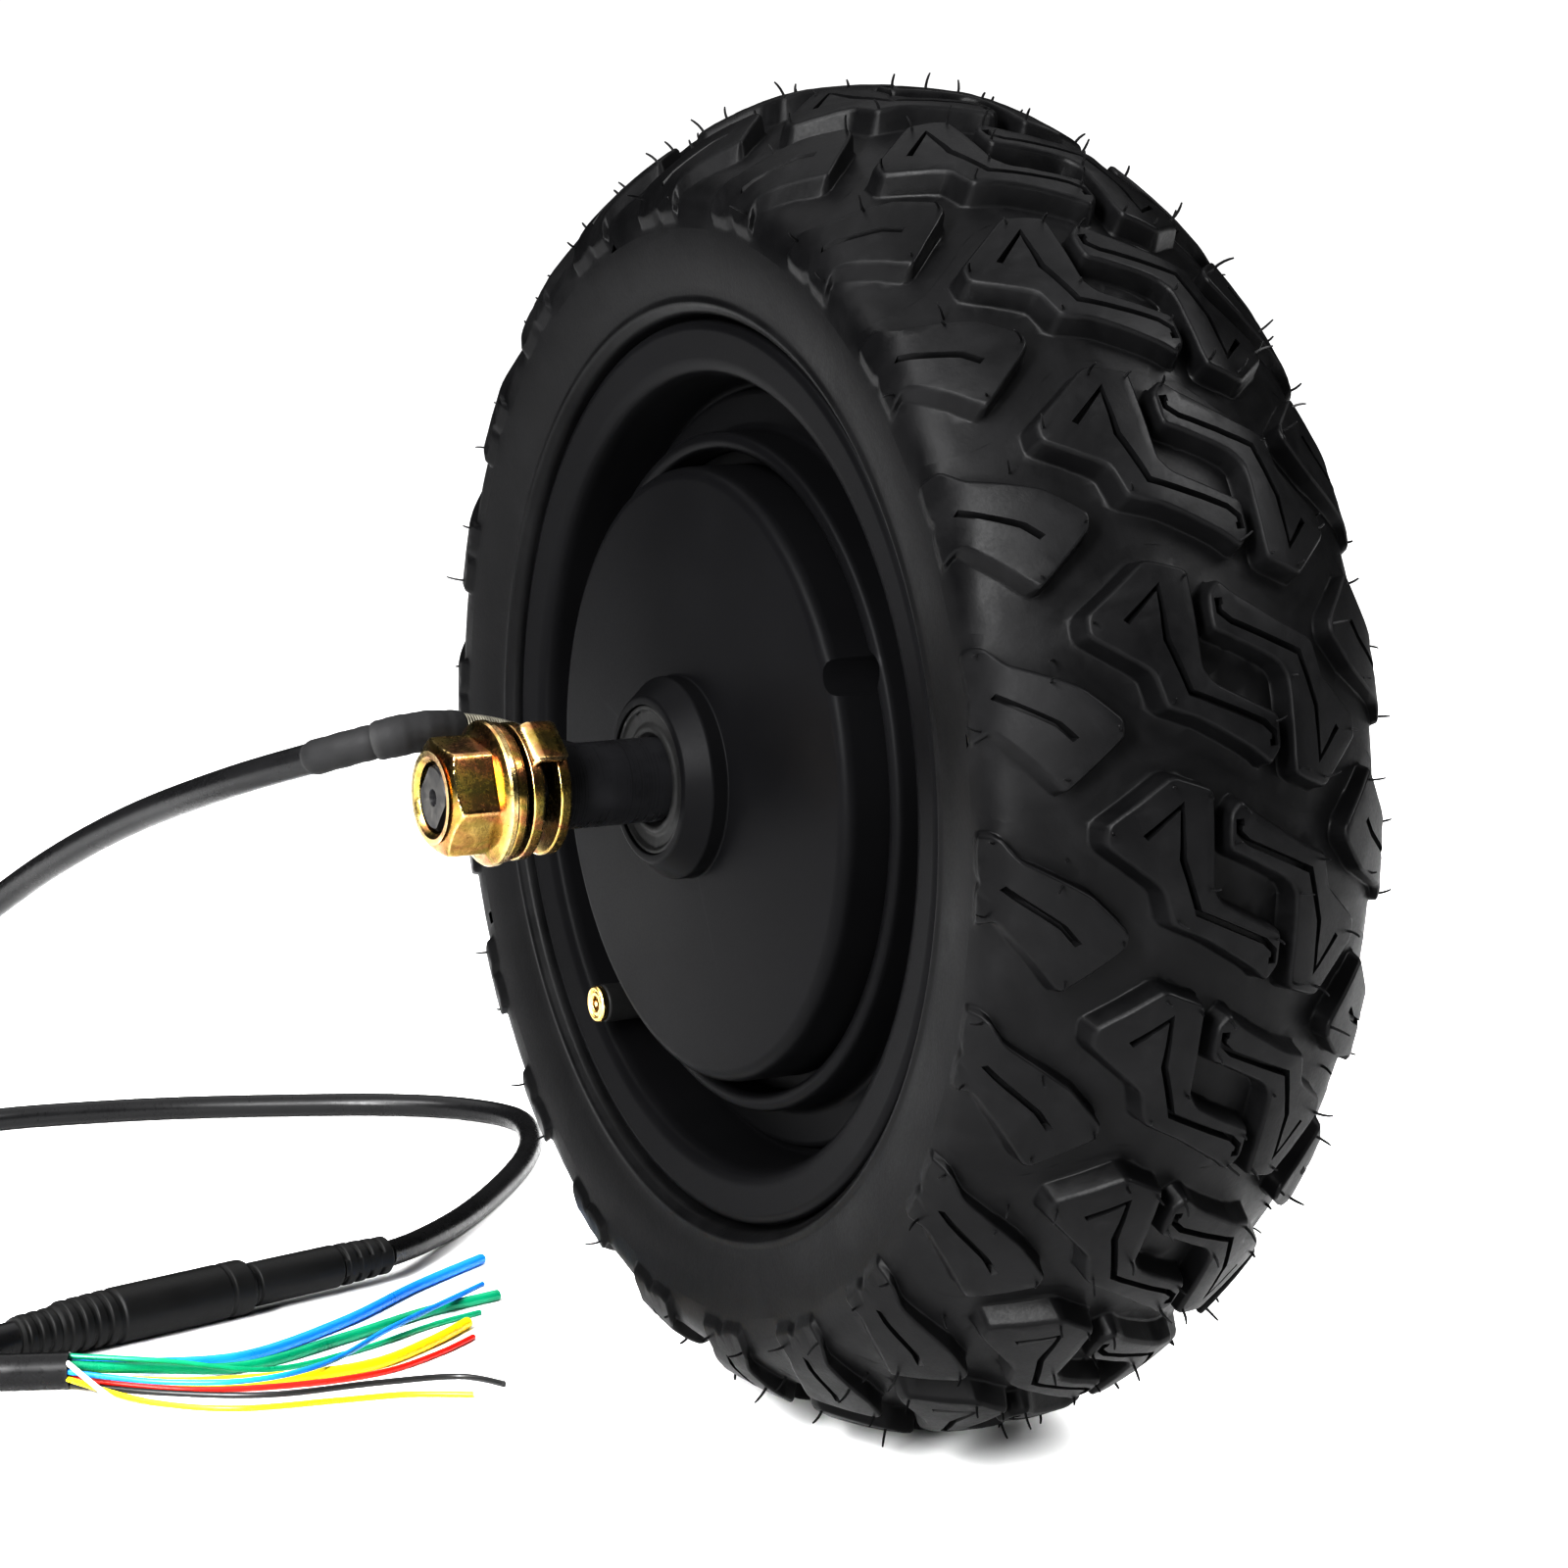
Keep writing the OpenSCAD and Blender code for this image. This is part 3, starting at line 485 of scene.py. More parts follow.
def carve(piece, cutters):
    """Cuts the cutters' shapes out of a piece for good, and drops them."""
    for c in cutters:
        mod = piece.modifiers.new("cut", "BOOLEAN")
        mod.operation, mod.solver, mod.object = "DIFFERENCE", "EXACT", c
        # only the cut is taken into the mesh
        for other in piece.modifiers:
            other.show_viewport = other.name == mod.name
        shape = piece.evaluated_get(bpy.context.evaluated_depsgraph_get())
        data = bpy.data.meshes.new_from_object(shape)
        piece.modifiers.remove(mod)
        for other in piece.modifiers:
            other.show_viewport = True
        clean(data, 2e-6, 1e-7, False)
        piece.data = data
        bpy.data.objects.remove(c)


def cutter(verts, faces):
    data = mesh_data("cutter", verts, faces)
    clean(data, 1e-7)
    return add_object("cutter", data)


def rod(a, b, radius, sides=32, side=1):
    return cutter(*sweep([to_world(a, side), to_world(b, side)], radius * MM, sides,
                         Vector((0.3, 0.2, 0.93))))


def polar(angle, r, h):
    a = math.radians(angle)
    return (r * math.cos(a), r * math.sin(a), h)


# ---- motor cable, spring and sleeves
motor_cable = curve_piece("motor_cable_sheath", CABLE_ROUTE, 3.15, "cable_black", "motor_cable")
SPRING_TURNS, TURN_STEPS, SPRING_R, SPRING_WIRE_R = 44, 18, 3.45, 0.25


def coil(line):
    """The spring's wire as points wound round a line of points."""
    run = [0.0]
    for a, b in zip(line, line[1:]):
        run.append(run[-1] + (b - a).length)
    ref, j, out = UP, 0, []
    steps = SPRING_TURNS * TURN_STEPS
    for s in range(steps + 1):
        at = run[-1] * s / steps
        while j < len(run) - 2 and run[j + 1] < at:
            j += 1
        p = line[j].lerp(line[j + 1], (at - run[j]) / (run[j + 1] - run[j]))
        d = (line[j + 1] - line[j]).normalized()
        ref = (ref - d * ref.dot(d)).normalized()
        a = 2 * math.pi * SPRING_TURNS * s / steps
        out.append(p + (ref * math.cos(a) + d.cross(ref) * math.sin(a)) * SPRING_R * MM)
    return out


spring = mesh_piece("cable_spring_coil", *sweep(coil(along(CABLE_ROUTE, 3, 6, 24)), SPRING_WIRE_R * MM, 7),
                    "spring_steel", "stator", "cable_spring", weighted=False)


def sleeve(name, first, last, r_out, r_in, node):
    """Heat-shrink tube: tight soft ends, slight waves where it shrank."""
    line = along(CABLE_ROUTE, first, last, 14)
    total, s, radii = length_of(line), 0.0, []
    for i, p in enumerate(line):
        if i:
            s += (p - line[i - 1]).length
        end = min(s, total - s) / MM
        wave = 0.06 * math.sin(s / MM * 1.1) + 0.04 * math.sin(s / MM * 2.7 + 1)
        radii.append((r_out + wave - 0.35 * math.exp(-end / 0.5)) * MM)
    sides = 24
    outer, outer_faces = sweep(line, radii, sides)
    inner, inner_faces = sweep(line, r_in * MM, sides)
    n, last_row = len(outer), len(outer) - sides
    faces = outer_faces[:-2] + [tuple(n + i for i in reversed(f)) for f in inner_faces[:-2]]
    for k in range(sides):
        k2 = (k + 1) % sides
        faces.append((k2, k, n + k, n + k2))
        faces.append((last_row + k, last_row + k2, n + last_row + k2, n + last_row + k))
    return mesh_piece(name, outer + inner, faces, "sleeve_black", "stator", node, sharp=50)


large_sleeve = sleeve("heat_shrink_large", 5, 7, 4.1, 3.72, "large_sleeve")
small_sleeve = sleeve("heat_shrink_small", 7, 8, 3.55, 3.18, "small_sleeve")

# ---- connector pair
CONN_AT = Vector((-158.6, -47.1, -131)) * MM
CONN_DIR = Vector((math.cos(math.radians(-75.4)), math.sin(math.radians(-75.4)), 0))


def conn_revolve(profile, segs=64, reshape=None):
    """Turns an outline of (s, r), s along the connector, into a closed shape."""
    verts = []
    side_dir = CONN_DIR.cross(UP).normalized()
    for a in circle(segs):
        for s, r in profile:
            q = reshape(s, r, a) if reshape else r
            verts.append(CONN_AT + (CONN_DIR * s + (side_dir * math.cos(a) + UP * math.sin(a)) * q) * MM)
    return verts, quads(segs, len(profile), True, False) + caps(segs, len(profile))


def ribs(start, count, pitch, outer, inner, width):
    """A strain relief's ribs; outer(i) and inner(i) are the radii of rib i and of the gap after it."""
    out = []
    for i in range(count):
        s, top, foot = start + i * pitch, outer(i), inner(i)
        out += [
            (s, top - 0.25), (s + 0.3, top), (s + width - 0.3, top), (s + width, top - 0.25),
            (s + width + 0.05, foot), (s + pitch - 0.05, foot)
        ]
    return out


def smooth_profile(pts, radius=0.35):
    """Open outline with its inner corners rounded."""
    return rounded([(*p, 0.0 if i in (0, len(pts) - 1) else radius) for i, p in enumerate(pts)], radius, 3)


def slotted(low, high, depth):
    """Leaves bridges between a strain relief's ribs at two sides, as moulded ones have."""
    def reshape(s, r, a):
        bridge = low < s < high and abs(math.cos(a)) > 0.92
        return max(r, depth(s)) if bridge else r
    return reshape


plug_profile = smooth_profile(
    [(0, 3.6)] + ribs(0.4, 4, 3.6, lambda i: 4.55 + 0.15 * i, lambda i: 3.95 + 0.13 * i, 2.5)
    + [(15.0, 4.6), (15.4, 5.1), (38.6, 5.2), (38.9, 4.9), (39.5, 4.9), (39.8, 5.2), (40.8, 5.2), (40.8, 3.4),
       (47.9, 3.4)])
plug = mesh_piece("connector_thin_half",
                  *conn_revolve(plug_profile, 64, slotted(1, 14.8, lambda s: 4.5 + s * 0.02)),
                  "black_rubber", "stator", "connector_plug", sharp=45)
socket_profile = smooth_profile(
    [(40.9, 5.4), (41.0, 6.0), (41.8, 6.5), (46.6, 6.5), (47.0, 6.2), (47.8, 6.2), (48.2, 6.5), (76.6, 6.5),
     (77, 5.9)]
    + ribs(78.2, 4, 3.4, lambda i: 6.4 - 0.1 * i, lambda i: 5.8 - 0.1 * i, 2.2)
    + [(91.9, 5.5), (92.3, 5.3)] + ribs(92.8, 3, 3.0, lambda i: 5.2 - 0.1 * i, lambda i: 4.7 - 0.05 * i, 2.0)
    + [(101.6, 4.8), (102.4, 4.5)])
socket = mesh_piece("connector_fat_half", *conn_revolve(socket_profile, 64), "black_rubber", "stator",
                    "connector_socket",
                    sharp=45)

# ---- tail cable and wires
tail = curve_piece("tail_cable_sheath", TAIL_ROUTE, 4.0, "cable_black", "tail_cable")


for node, (mat, radius, route) in WIRES.items():
    wire = curve_piece(node + "_lead", route, radius, mat, node, 4)

# ---- tyre
PITCHES = 22
PITCH = 360 / PITCHES
DEG_MM = 2.34  # one degree of tread, in mm
MID = 12.1  # the angle about which a pitch's two halves mirror
# (v, r, h): v mm across the tread from its middle, then the radius and height there
SIDEWALL = [(53, 104.2, 41.7), (58, 99.2, 40.8), (62, 95.3, 39.9), (64.5, 92.9, 39.2)]
GROOVE = [
    (0, 132.7, 0), (6.5, 132.3, 6.5), (13, 131.2, 13), (22.5, 127.4, 22.5), (30.5, 123.6, 30.5),
    (36.5, 119.8, 36.5), (40.4, 116.5, 40.3), (44, 113.0, 41.9), (48, 109.2, 42.15), *SIDEWALL
]
TOP = [
    (0, 137.5, 0), (6.5, 137.2, 6.5), (13, 136.3, 13), (22.5, 132.3, 22.5), (30.5, 127.8, 30.5),
    (36.5, 123.3, 36.5), (40.4, 119.5, 40.5), (44, 114.6, 42.8), (46.4, 111.9, 43.0), (48, 109.6, 42.4),
    *SIDEWALL
]


def table_at(table, v):
    """(r, h) on a smooth curve through a table of (v, r, h); h changes sign with v."""
    sign, v = (1 if v >= 0 else -1), abs(v)
    full = [(-q[0], q[1], -q[2]) for q in table[2:0:-1]] + table
    i = 2
    while v > full[i + 1][0] and i < len(full) - 2:
        i += 1
    m, a, b, n = full[i - 1], full[i], full[i + 1], full[min(i + 2, len(full) - 1)]
    t = (v - a[0]) / (b[0] - a[0])
    t2, t3 = t * t, t * t * t
    out = []
    for c in (1, 2):
        ta = (b[c] - m[c]) / (b[0] - m[0]) * (b[0] - a[0])
        tb = (n[c] - a[c]) / (n[0] - a[0]) * (b[0] - a[0])
        out.append((2 * t3 - 3 * t2 + 1) * a[c] + (t3 - 2 * t2 + t) * ta + (3 * t2 - 2 * t3) * b[c]
                   + (t3 - t2) * tb)
    return out[0], out[1] * sign


def tyre_point(theta, v, rise):
    """A point of the tread: theta in degrees, v mm across, rise 0 in the groove and 1 on a block."""
    g, t = table_at(GROOVE, v), table_at(TOP, v)
    r, h = g[0] + (t[0] - g[0]) * rise, g[1] + (t[1] - g[1]) * rise
    a = math.radians(theta)
    return to_world((r * math.cos(a), r * math.sin(a), h))


# outlines of the tread blocks and their slits, as (degrees, mm across)
BLOCK = [
    (5.1, -3.3), (6.3, -5.7), (8.8, -5.7), (9.7, -1.1), (11.4, 6.8), (12.6, 8.9), (20, 8.9), (21.2, 16.2),
    (17.6, 26.9), (16, 26.9), (12.6, 17.6), (9.9, 16.1), (8.7, 9.5), (6.1, -0.7)
]
SHOULDER = [
    (4, 32.8), (8.1, 23.3), (9.3, 23), (12.1, 28.8), (14.8, 38.9), (16.7, 41.8), (16.7, 46), (13.4, 46),
    (12.5, 44.6), (11.6, 46), (8.6, 46), (9.5, 41.8), (7.9, 38.9)
]
SIPE = [
    (6.75, -3.3), (6.75, -4.2), (7.5, -4.2), (8.3, -2.1), (10.9, 11.9), (15, 14.9), (19.0, 14.9), (16.7, 20.9)
]
SHOULDER_SIPE = [(8.2, 30.9), (9.5, 33.1), (11, 37.5), (12.4, 41.2)]


def flat(points, mirror=False):
    """(degrees, mm) to the patch's own plane, in mm."""
    return [Vector(((MID * 2 - q[0] if mirror else q[0]) * DEG_MM,
                    -q[1] if mirror else q[1])) for q in points]


def area(poly):
    return 0.5 * sum(a.x * b.y - b.x * a.y for a, b in zip(poly, poly[1:] + poly[:1]))


def anticlockwise(poly):
    return poly[::-1] if area(poly) < 0 else poly


def soften(poly, cut):
    return [Vector(q) for q in rounded([tuple(p) for p in poly], cut, 2)]


def grow(poly, d):
    """The closed outline (counter-clockwise) moved outwards by d."""
    out = []
    n = len(poly)
    for i, p in enumerate(poly):
        a = (p - poly[i - 1]).normalized()
        b = (poly[(i + 1) % n] - p).normalized()
        na, nb = Vector((a.y, -a.x)), Vector((b.y, -b.x))
        m = na + nb
        m = m / max(m.length_squared / 2, 0.5)
        out.append(p + m * d)
    return out


def split(poly, step):
    out = []
    for a, b in zip(poly, poly[1:] + poly[:1]):
        m = max(1, math.ceil((b - a).length / step))
        out += [a.lerp(b, k / m) for k in range(m)]
    return out


def inside(p, poly):
    hit = False
    for a, b in zip(poly, poly[1:] + poly[:1]):
        if (a.y > p.y) != (b.y > p.y) and p.x < (b.x - a.x) * (p.y - a.y) / (b.y - a.y) + a.x:
            hit = not hit
    return hit


def away(p, poly):
    """Distance from a point to a closed outline."""
    best = 1e9
    for a, b in zip(poly, poly[1:] + poly[:1]):
        ab = b - a
        t = max(0, min(1, (p - a).dot(ab) / ab.length_squared)) if ab.length_squared else 0
        best = min(best, (p - a - ab * t).length)
    return best


def band(line, half):
    """A closed outline round an open line."""
    left, right_side = [], []
    for i, p in enumerate(line):
        a = (p - line[i - 1]).normalized() if i else (line[1] - p).normalized()
        b = (line[i + 1] - p).normalized() if i < len(line) - 1 else a
        m = Vector((a.y, -a.x)) + Vector((b.y, -b.x))
        m = m / max(m.length_squared / 2, 0.6)
        end = (-a if i == 0 else a if i == len(line) - 1 else Vector((0, 0))) * half * 0.2
        right_side.append(p + m * half + end)
        left.append(p - m * half + end)
    return right_side + left[::-1]


# one pitch's edge, as (degrees, mm across)
EDGE = [
    (18.5, 48), (18.5, 44), (17.8, 38), (18, 32), (20, 26), (22.8, 18), (22.6, 9), (21.3, 4), (20.3, 0),
    (20.2, -4), (18.5, -9), (17.3, -14), (17.3, -20), (19.5, -25), (22, -31), (21.8, -36), (20, -41),
    (19.5, -44), (18.5, -48)
]
ROW_END = 48
ACROSS = 12
TOP_RING, FOOT_RING = -0.55, 1.25
# how far out of a block's outline each ring of points lies, and how high it rises
BLOCK_RINGS = ((TOP_RING, 1.0), (-0.15, 0.95), (0.25, 0.80), (0.75, 0.12), (FOOT_RING, 0.0))
SPLIT = 2.6
FILL_GAP = 3.0


def tyre_patch():
    """One pitch of tread: its points in the plane, how high each rises, and the faces."""
    pts, rise, lines = [], [], []

    def add_loop(loop, level):
        first, n = len(pts), len(loop)
        pts.extend(loop)
        rise.extend([level] * n)
        lines.extend((first + i, first + (i + 1) % n) for i in range(n))

    path = [Vector((q[0] * DEG_MM, q[1])) for q in EDGE]
    right_path = []
    for i in range(len(path) - 1):
        a, b, c, d = path[max(i - 1, 0)], path[i], path[i + 1], path[min(i + 2, len(path) - 1)]
        m = max(2, round((c - b).length / 2.4))
        right_path += [catmull(a, b, c, d, k / m) for k in range(m)]
    right_path.append(path[-1])
    width = Vector((PITCH * DEG_MM, 0))
    left_path = [p - width for p in right_path]
    top_row = [left_path[0].lerp(right_path[0], k / ACROSS) for k in range(1, ACROSS)]
    low_row = [right_path[-1].lerp(left_path[-1], k / ACROSS) for k in range(1, ACROSS)]
    border = left_path[::-1] + top_row + right_path + low_row
    add_loop(border, 0.0)
    feet, tops, sipes = [], [], []
    for shape, sipe, mirror in ((BLOCK, SIPE, False), (BLOCK, SIPE, True), (SHOULDER, SHOULDER_SIPE, False),
                                (SHOULDER, SHOULDER_SIPE, True)):
        outline = split(soften(anticlockwise(flat(shape, mirror)), 0.9), SPLIT)
        for d, level in BLOCK_RINGS:
            add_loop(grow(outline, d), level)
        tops.append(grow(outline, TOP_RING))
        feet.append(grow(outline, FOOT_RING))
        cut = split(anticlockwise(band(flat(sipe, mirror), 0.62)), SPLIT)
        add_loop(cut, 1.0)
        add_loop(grow(cut, -0.2), 0.5)
        sipes.append(cut)
    # fill points on a jittered hexagonal grid, clear of every outline
    row, y = 0, -ROW_END + 1.6
    jig = random.Random(3)
    while y < ROW_END - 1.4:
        x = -2 * DEG_MM + (row % 2) * FILL_GAP / 2
        while x < 25 * DEG_MM:
            p = Vector((x + jig.uniform(-0.2, 0.2), y + jig.uniform(-0.2, 0.2)))
            x += FILL_GAP
            if not inside(p, border) or away(p, border) < 1.3:
                continue
            level, bad = 0.0, False
            for top, foot, sipe in zip(tops, feet, sipes):
                if inside(p, top):
                    bad = away(p, top) < 1.0 or inside(p, sipe) or away(p, sipe) < 0.9
                    level = 1.0
                elif inside(p, foot) or away(p, foot) < 0.9:
                    bad = True
                if bad:
                    break
            if not bad:
                pts.append(p)
                rise.append(level)
        y += FILL_GAP * 0.866
        row += 1
    points, _, faces, origin, _, _ = delaunay_2d_cdt(pts, lines, [], 0, 1e-5, True)
    # a point where two outlines cross has no origin and takes its nearest neighbour's rise
    known = [(p, max(rise[k] for k in ids)) for p, ids in zip(points, origin) if ids]
    levels = [max(rise[k] for k in ids) if ids else min(known, key=lambda q: (q[0] - p).length_squared)[1]
              for p, ids in zip(points, origin)]
    faces = [tuple(f) for f in faces if inside(sum((points[i] for i in f), Vector((0, 0))) / len(f), border)]
    return points, levels, faces


def hair(root, direction, length, radius, sides=4, curl=0.3):
    """A thin moulding hair."""
    side_way = direction.orthogonal().normalized()
    turn = rng.uniform(0, 2 * math.pi)
    bend = (side_way * math.cos(turn) + direction.cross(side_way) * math.sin(turn)) * curl
    line = [root + direction * length * t + bend * length * t * t for t in (-0.08, 0.2, 0.5, 0.78, 1.0)]
    return sweep(line, [radius * 1.15, radius, radius * 0.95, radius * 0.85, radius * 0.6], sides, side_way)


def build_tyre():
    points, levels, patch = tyre_patch()
    verts, faces = [], []
    for k in range(PITCHES):
        base = len(verts)
        for p, level in zip(points, levels):
            ripple = 0.05 * math.sin(p.x * 0.9 + k) * math.sin(p.y * 0.7) if level in (0.0, 1.0) else 0
            verts.append(tyre_point(p.x / DEG_MM + k * PITCH, p.y, level + ripple * 0.25))
        faces += [tuple(base + i for i in f) for f in patch]
    # sidewalls, beads and the inner skin, turned
    segs = PITCHES * ACROSS
    start = EDGE[0][0] - PITCH
    outer = [table_at(GROOVE, v) for v in (48, 49.3, 50.6, 52, 53.5, 55, 57, 59, 61)]
    outer += [
        (95.4, 40.15), (94.9, 40.35), (94.3, 40.3), (93.8, 39.9), (93.1, 39.3), (92.5, 38.8), (92.25, 37.6),
        (92.15, 36.2), (91.7, 34.9), (90.6, 34.3), (88, 33.6), (84, 32.9), (83.0, 31.9), (82.75, 30.5),
        (82.75, 22), (83.2, 20.5), (86, 20.5), (89.5, 24), (93, 31), (100, 35.6), (108, 37), (115, 35.5),
        (120.5, 30.5), (124.5, 22.5), (127, 13), (128, 0)
    ]
    loop = outer + [(r, -h) for r, h in reversed(outer[:-1])]
    base = len(verts)
    n = len(loop)
    for k in range(segs):
        a = math.radians(start + k * 360 / segs)
        for r, h in loop:
            verts.append(to_world((r * math.cos(a), r * math.sin(a), h)))
    for k in range(segs):
        a, b = base + k * n, base + (k + 1) % segs * n
        faces += [(a + i, b + i, b + i + 1, a + i + 1) for i in range(n - 1)]
    # moulding hairs, at (degrees, mm across, rise)
    spots = [
        (5.6, -3.4, 1), (8.3, -5.0, 1), (12.6, 9.7, 1), (19.6, 9.8, 1), (20.4, 16.1, 1), (17, 26, 1),
        (10.3, 15.3, 1), (5.0, 32.3, 1), (8.6, 24, 1), (12.9, 33.5, 1), (16.2, 42.5, 0.9), (9.6, 43.5, 0.9),
        (14.8, 31, 0)
    ]
    for k in range(PITCHES):
        for theta, across, level in spots:
            for sign in (1, -1):
                length = rng.uniform(0.8, 3.9) * MM
                if rng.random() < 0.22:
                    continue
                t = (theta if sign > 0 else 2 * MID - theta) + k * PITCH
                v = across * sign
                root = tyre_point(t, v, level)
                g1 = tyre_point(t, v + 0.6, level) - tyre_point(t, v - 0.6, level)
                g2 = tyre_point(t + 0.4, v, level) - tyre_point(t - 0.4, v, level)
                normal = g1.cross(g2).normalized()
                if normal.dot(root) < 0:
                    normal.negate()
                if root.z + normal.z * length < FLOOR_Z + 0.0008:
                    continue
                hair_verts, hair_faces = hair(root, normal, length, 0.26 * MM)
                base = len(verts)
                verts += hair_verts
                faces += [tuple(base + i for i in q) for q in hair_faces]
    return verts, faces


tyre = mesh_piece("tyre_tread", *build_tyre(), "tyre_rubber", "wheel", "tyre", sharp=50)

# ---- rim and covers
# outlines are (r, h) in mm, with a third number where a corner has its own rounding
FLANGE = [
    (78, 10), (78.8, 13), (81.5, 17), (82.6, 19), (82.6, 31), (83, 31.8), (84.3, 32.8), (88, 33.4),
    (90.8, 34.4, 0.6), (91.2, 36.5, 0.6), (90.9, 37.8, 0.7), (89.5, 38.4, 0.6), (83, 37.6, 0.8),
    (81, 36.8, 0.8), (80.2, 35, 1.2), (79.6, 30), (79, 22, 1.5)
]
RIM = [(62.1, -20), (65, -20), (65, -24.5, 0.2), (76.5, -24.5), (77.2, -23.5), (78, -21.5),
       *[(r, -h, *own) for r, h, *own in reversed(FLANGE)], *FLANGE,
       (77.6, 21.4, 1.2), (77.0, 24.1, 0.6), (76.2, 24.5, 0.5), (69.0, 24.5, 1.6), (68.8, 34.1, 2.1),
       (65.05, 34.2, 1.7), (65, 20), (62.1, 20)]
RING_SEAT = [(65, 20), (65, 22, 0), (63.4, 22, 0), (63.4, 23.6, 0), (65, 23.6, 0)]
BEARING_SEAT = [(13, 38), (20, 38), (20, 26), (26, 26), (26, 36.5), (55.5, 35.5), (56.5, 34.5), (56.5, 20)]
COVER = [
    *RING_SEAT, (65, 27, 0.4), (62.15, 27, 0.1), (62, 41.5, 2.8), (20.4, 44.3, 0.45), (20.4, 47.7, 0.4),
    (16.75, 52.2, 0.45), (15.05, 52.2, 0.2), (15.05, 45), (13, 45), *BEARING_SEAT
]
FAR_COVER = [
    *RING_SEAT, (65, 24.55, 0), (75.4, 24.55, 0.2), (75.5, 28.4, 0.5), (74.7, 29, 0.5), (63, 29, 0.8),
    (62, 30, 0.4), (62, 38.4, 1.8), (61.2, 41.35, 1.6), (58.6, 41.6, 1.2), (45, 42.2), (31, 42.8, 1.0),
    (29.3, 43.8, 0.8), (29, 45, 0.4), (29, 48.7, 0.35), (28.7, 49, 0.3), (15.05, 49, 0.3), (15.05, 42),
    (13, 42), *BEARING_SEAT
]


def shell(name, outline, corner, side, node):
    return mesh_piece(name, *revolve(rounded(outline, corner, 4), 256, side), "black_coat", "wheel", node,
                      sharp=38)


rim = shell("rim_shell", RIM, 0.25, 1, "rim_hub")
cover = shell("cover_disc", COVER, 0.15, 1, "cable_side_cover")
for piece in (rim, cover):
    carve(piece, [rod(polar(23, 63.8, 26), polar(23, 63.8, 46), 4.2, 48)])
far_cover = shell("disc_cover", FAR_COVER, 0.15, -1, "disc_side_cover")
carve(far_cover, [rod(polar(a, 22, 40), polar(a, 22, 52), 2.5, 28, -1) for a in range(30, 360, 60)])


def hexagon(a, half):
    """Radius of a hexagon at angle a, from half its width across flats."""
    return half / math.cos(a % (math.pi / 3) - math.pi / 6)


SCREW_HEAD = rounded([(0.0, 29.02, 0), (3.5, 29.02, 0.15), (3.5, 32.5, 0.4), (2.0, 32.5, 0.15),
                      (1.7, 32.2, 0), (1.7, 30.4, 0), (0.0, 30.4, 0)], 0.1, 3)


def socket_shape(a, r, h):
    """Makes the bore in a screw's head a hexagon."""
    if 0.5 < r < 2.2 and h > 30.3:
        hexa = hexagon(a + math.pi / 6, 1.47)
        return hexa if r < 1.75 else max(r, hexa)
    return r


screw_verts, screw_faces = [], []
for angle in range(18, 360, 36):
    at = polar(angle, 70.5, 0)
    v, f = turn(SCREW_HEAD, 48, lambda x, y, h: to_world((x + at[0], y + at[1], h), -1), False, socket_shape)
    base = len(screw_verts)
    screw_verts += v
    screw_faces += [tuple(base + i for i in q) for q in f]
mesh_piece("cover_screw_heads", screw_verts, screw_faces, "steel", "wheel", "cover_screws", sharp=35)


def seal(name, base, side, node):
    """Oil seal with a sprung lip, raised outer band and two small pull slits."""
    outline = [
        (8.56, 0, 0), (14.95, 0, 0), (14.95, 6.7, 0.3), (14.1, 6.7, 0.3), (13.6, 6.1, 0.4), (11.3, 5.9, 0.5),
        (10.5, 6.45, 0.5), (9.5, 6.3, 0.4), (9.1, 5.7, 0.3), (8.56, 5.2, 0.2)
    ]
    profile = rounded([(r, base + h, own) for r, h, own in outline], 0.2, 4)

    def notch(a, r, h):
        if h > base + 5.5 and 11.2 < r < 13.8:
            for spot in (111, 274):
                if abs((math.degrees(a) - spot + 180) % 360 - 180) < 2.6:
                    return r + (0.7 if r > 12.5 else 0)
        return r
    return mesh_piece(name, *revolve(profile, 192, side, True, notch), "black_rubber", "wheel", node,
                      sharp=40)


seal("oil_seal_lip", 45, 1, "cable_side_oil_seal")
seal("far_oil_seal_lip", 42, -1, "disc_side_oil_seal")

# ---- axle
FLAT_TURN = math.radians(137)
SHAFT_SEGS = 128


def flat_radius(a, r, half=5.0):
    """Radius of a rod of radius r with two flats, each half mm from its centre."""
    c = abs(math.cos(a - FLAT_TURN))
    return min(r, half / c) if c > 1e-6 else r


def threaded_end(side, name):
    """M14 fine thread with two flats, chamfered end and a centre drill."""
    pitch, low, high, step = 1.5, 74.4, 98.5, 0.14
    crest, depth, neck, neck_end, chamfer = 6.97, 0.78, 6.2, 75.6, 1.2
    angles = circle(SHAFT_SEGS)
    rows = [low + step * i for i in range(int((high - low) / step) + 1)] + [high]
    verts = []
    for h in rows:
        for a in angles:
            phase = (h / pitch - a / (2 * math.pi)) % 1.0
            r = crest - depth * max(0.0, min(1.0, (abs(phase - 0.5) * 2 - 0.12) / 0.76))
            if h < neck_end:
                r = neck
            r = flat_radius(a, min(r, crest - max(0.0, h - (high - chamfer)) * 0.85))
            verts.append(to_world((r * math.cos(a), r * math.sin(a), h), side))
    drill = ((1.75, high), (1.6, high - 0.25), (0.75, high - 1.7), (0.55, high - 2.8))
    for r, h in drill:
        verts += [to_world((r * math.cos(a), r * math.sin(a), h), side) for a in angles]
    count = len(rows) + len(drill)
    ends = [tuple((count - 1) * SHAFT_SEGS + k for k in range(SHAFT_SEGS)),
            tuple(reversed(range(SHAFT_SEGS)))]
    return mesh_piece(name, verts, quads(count, SHAFT_SEGS, False) + ends, "black_oxide", "stator", sharp=40)


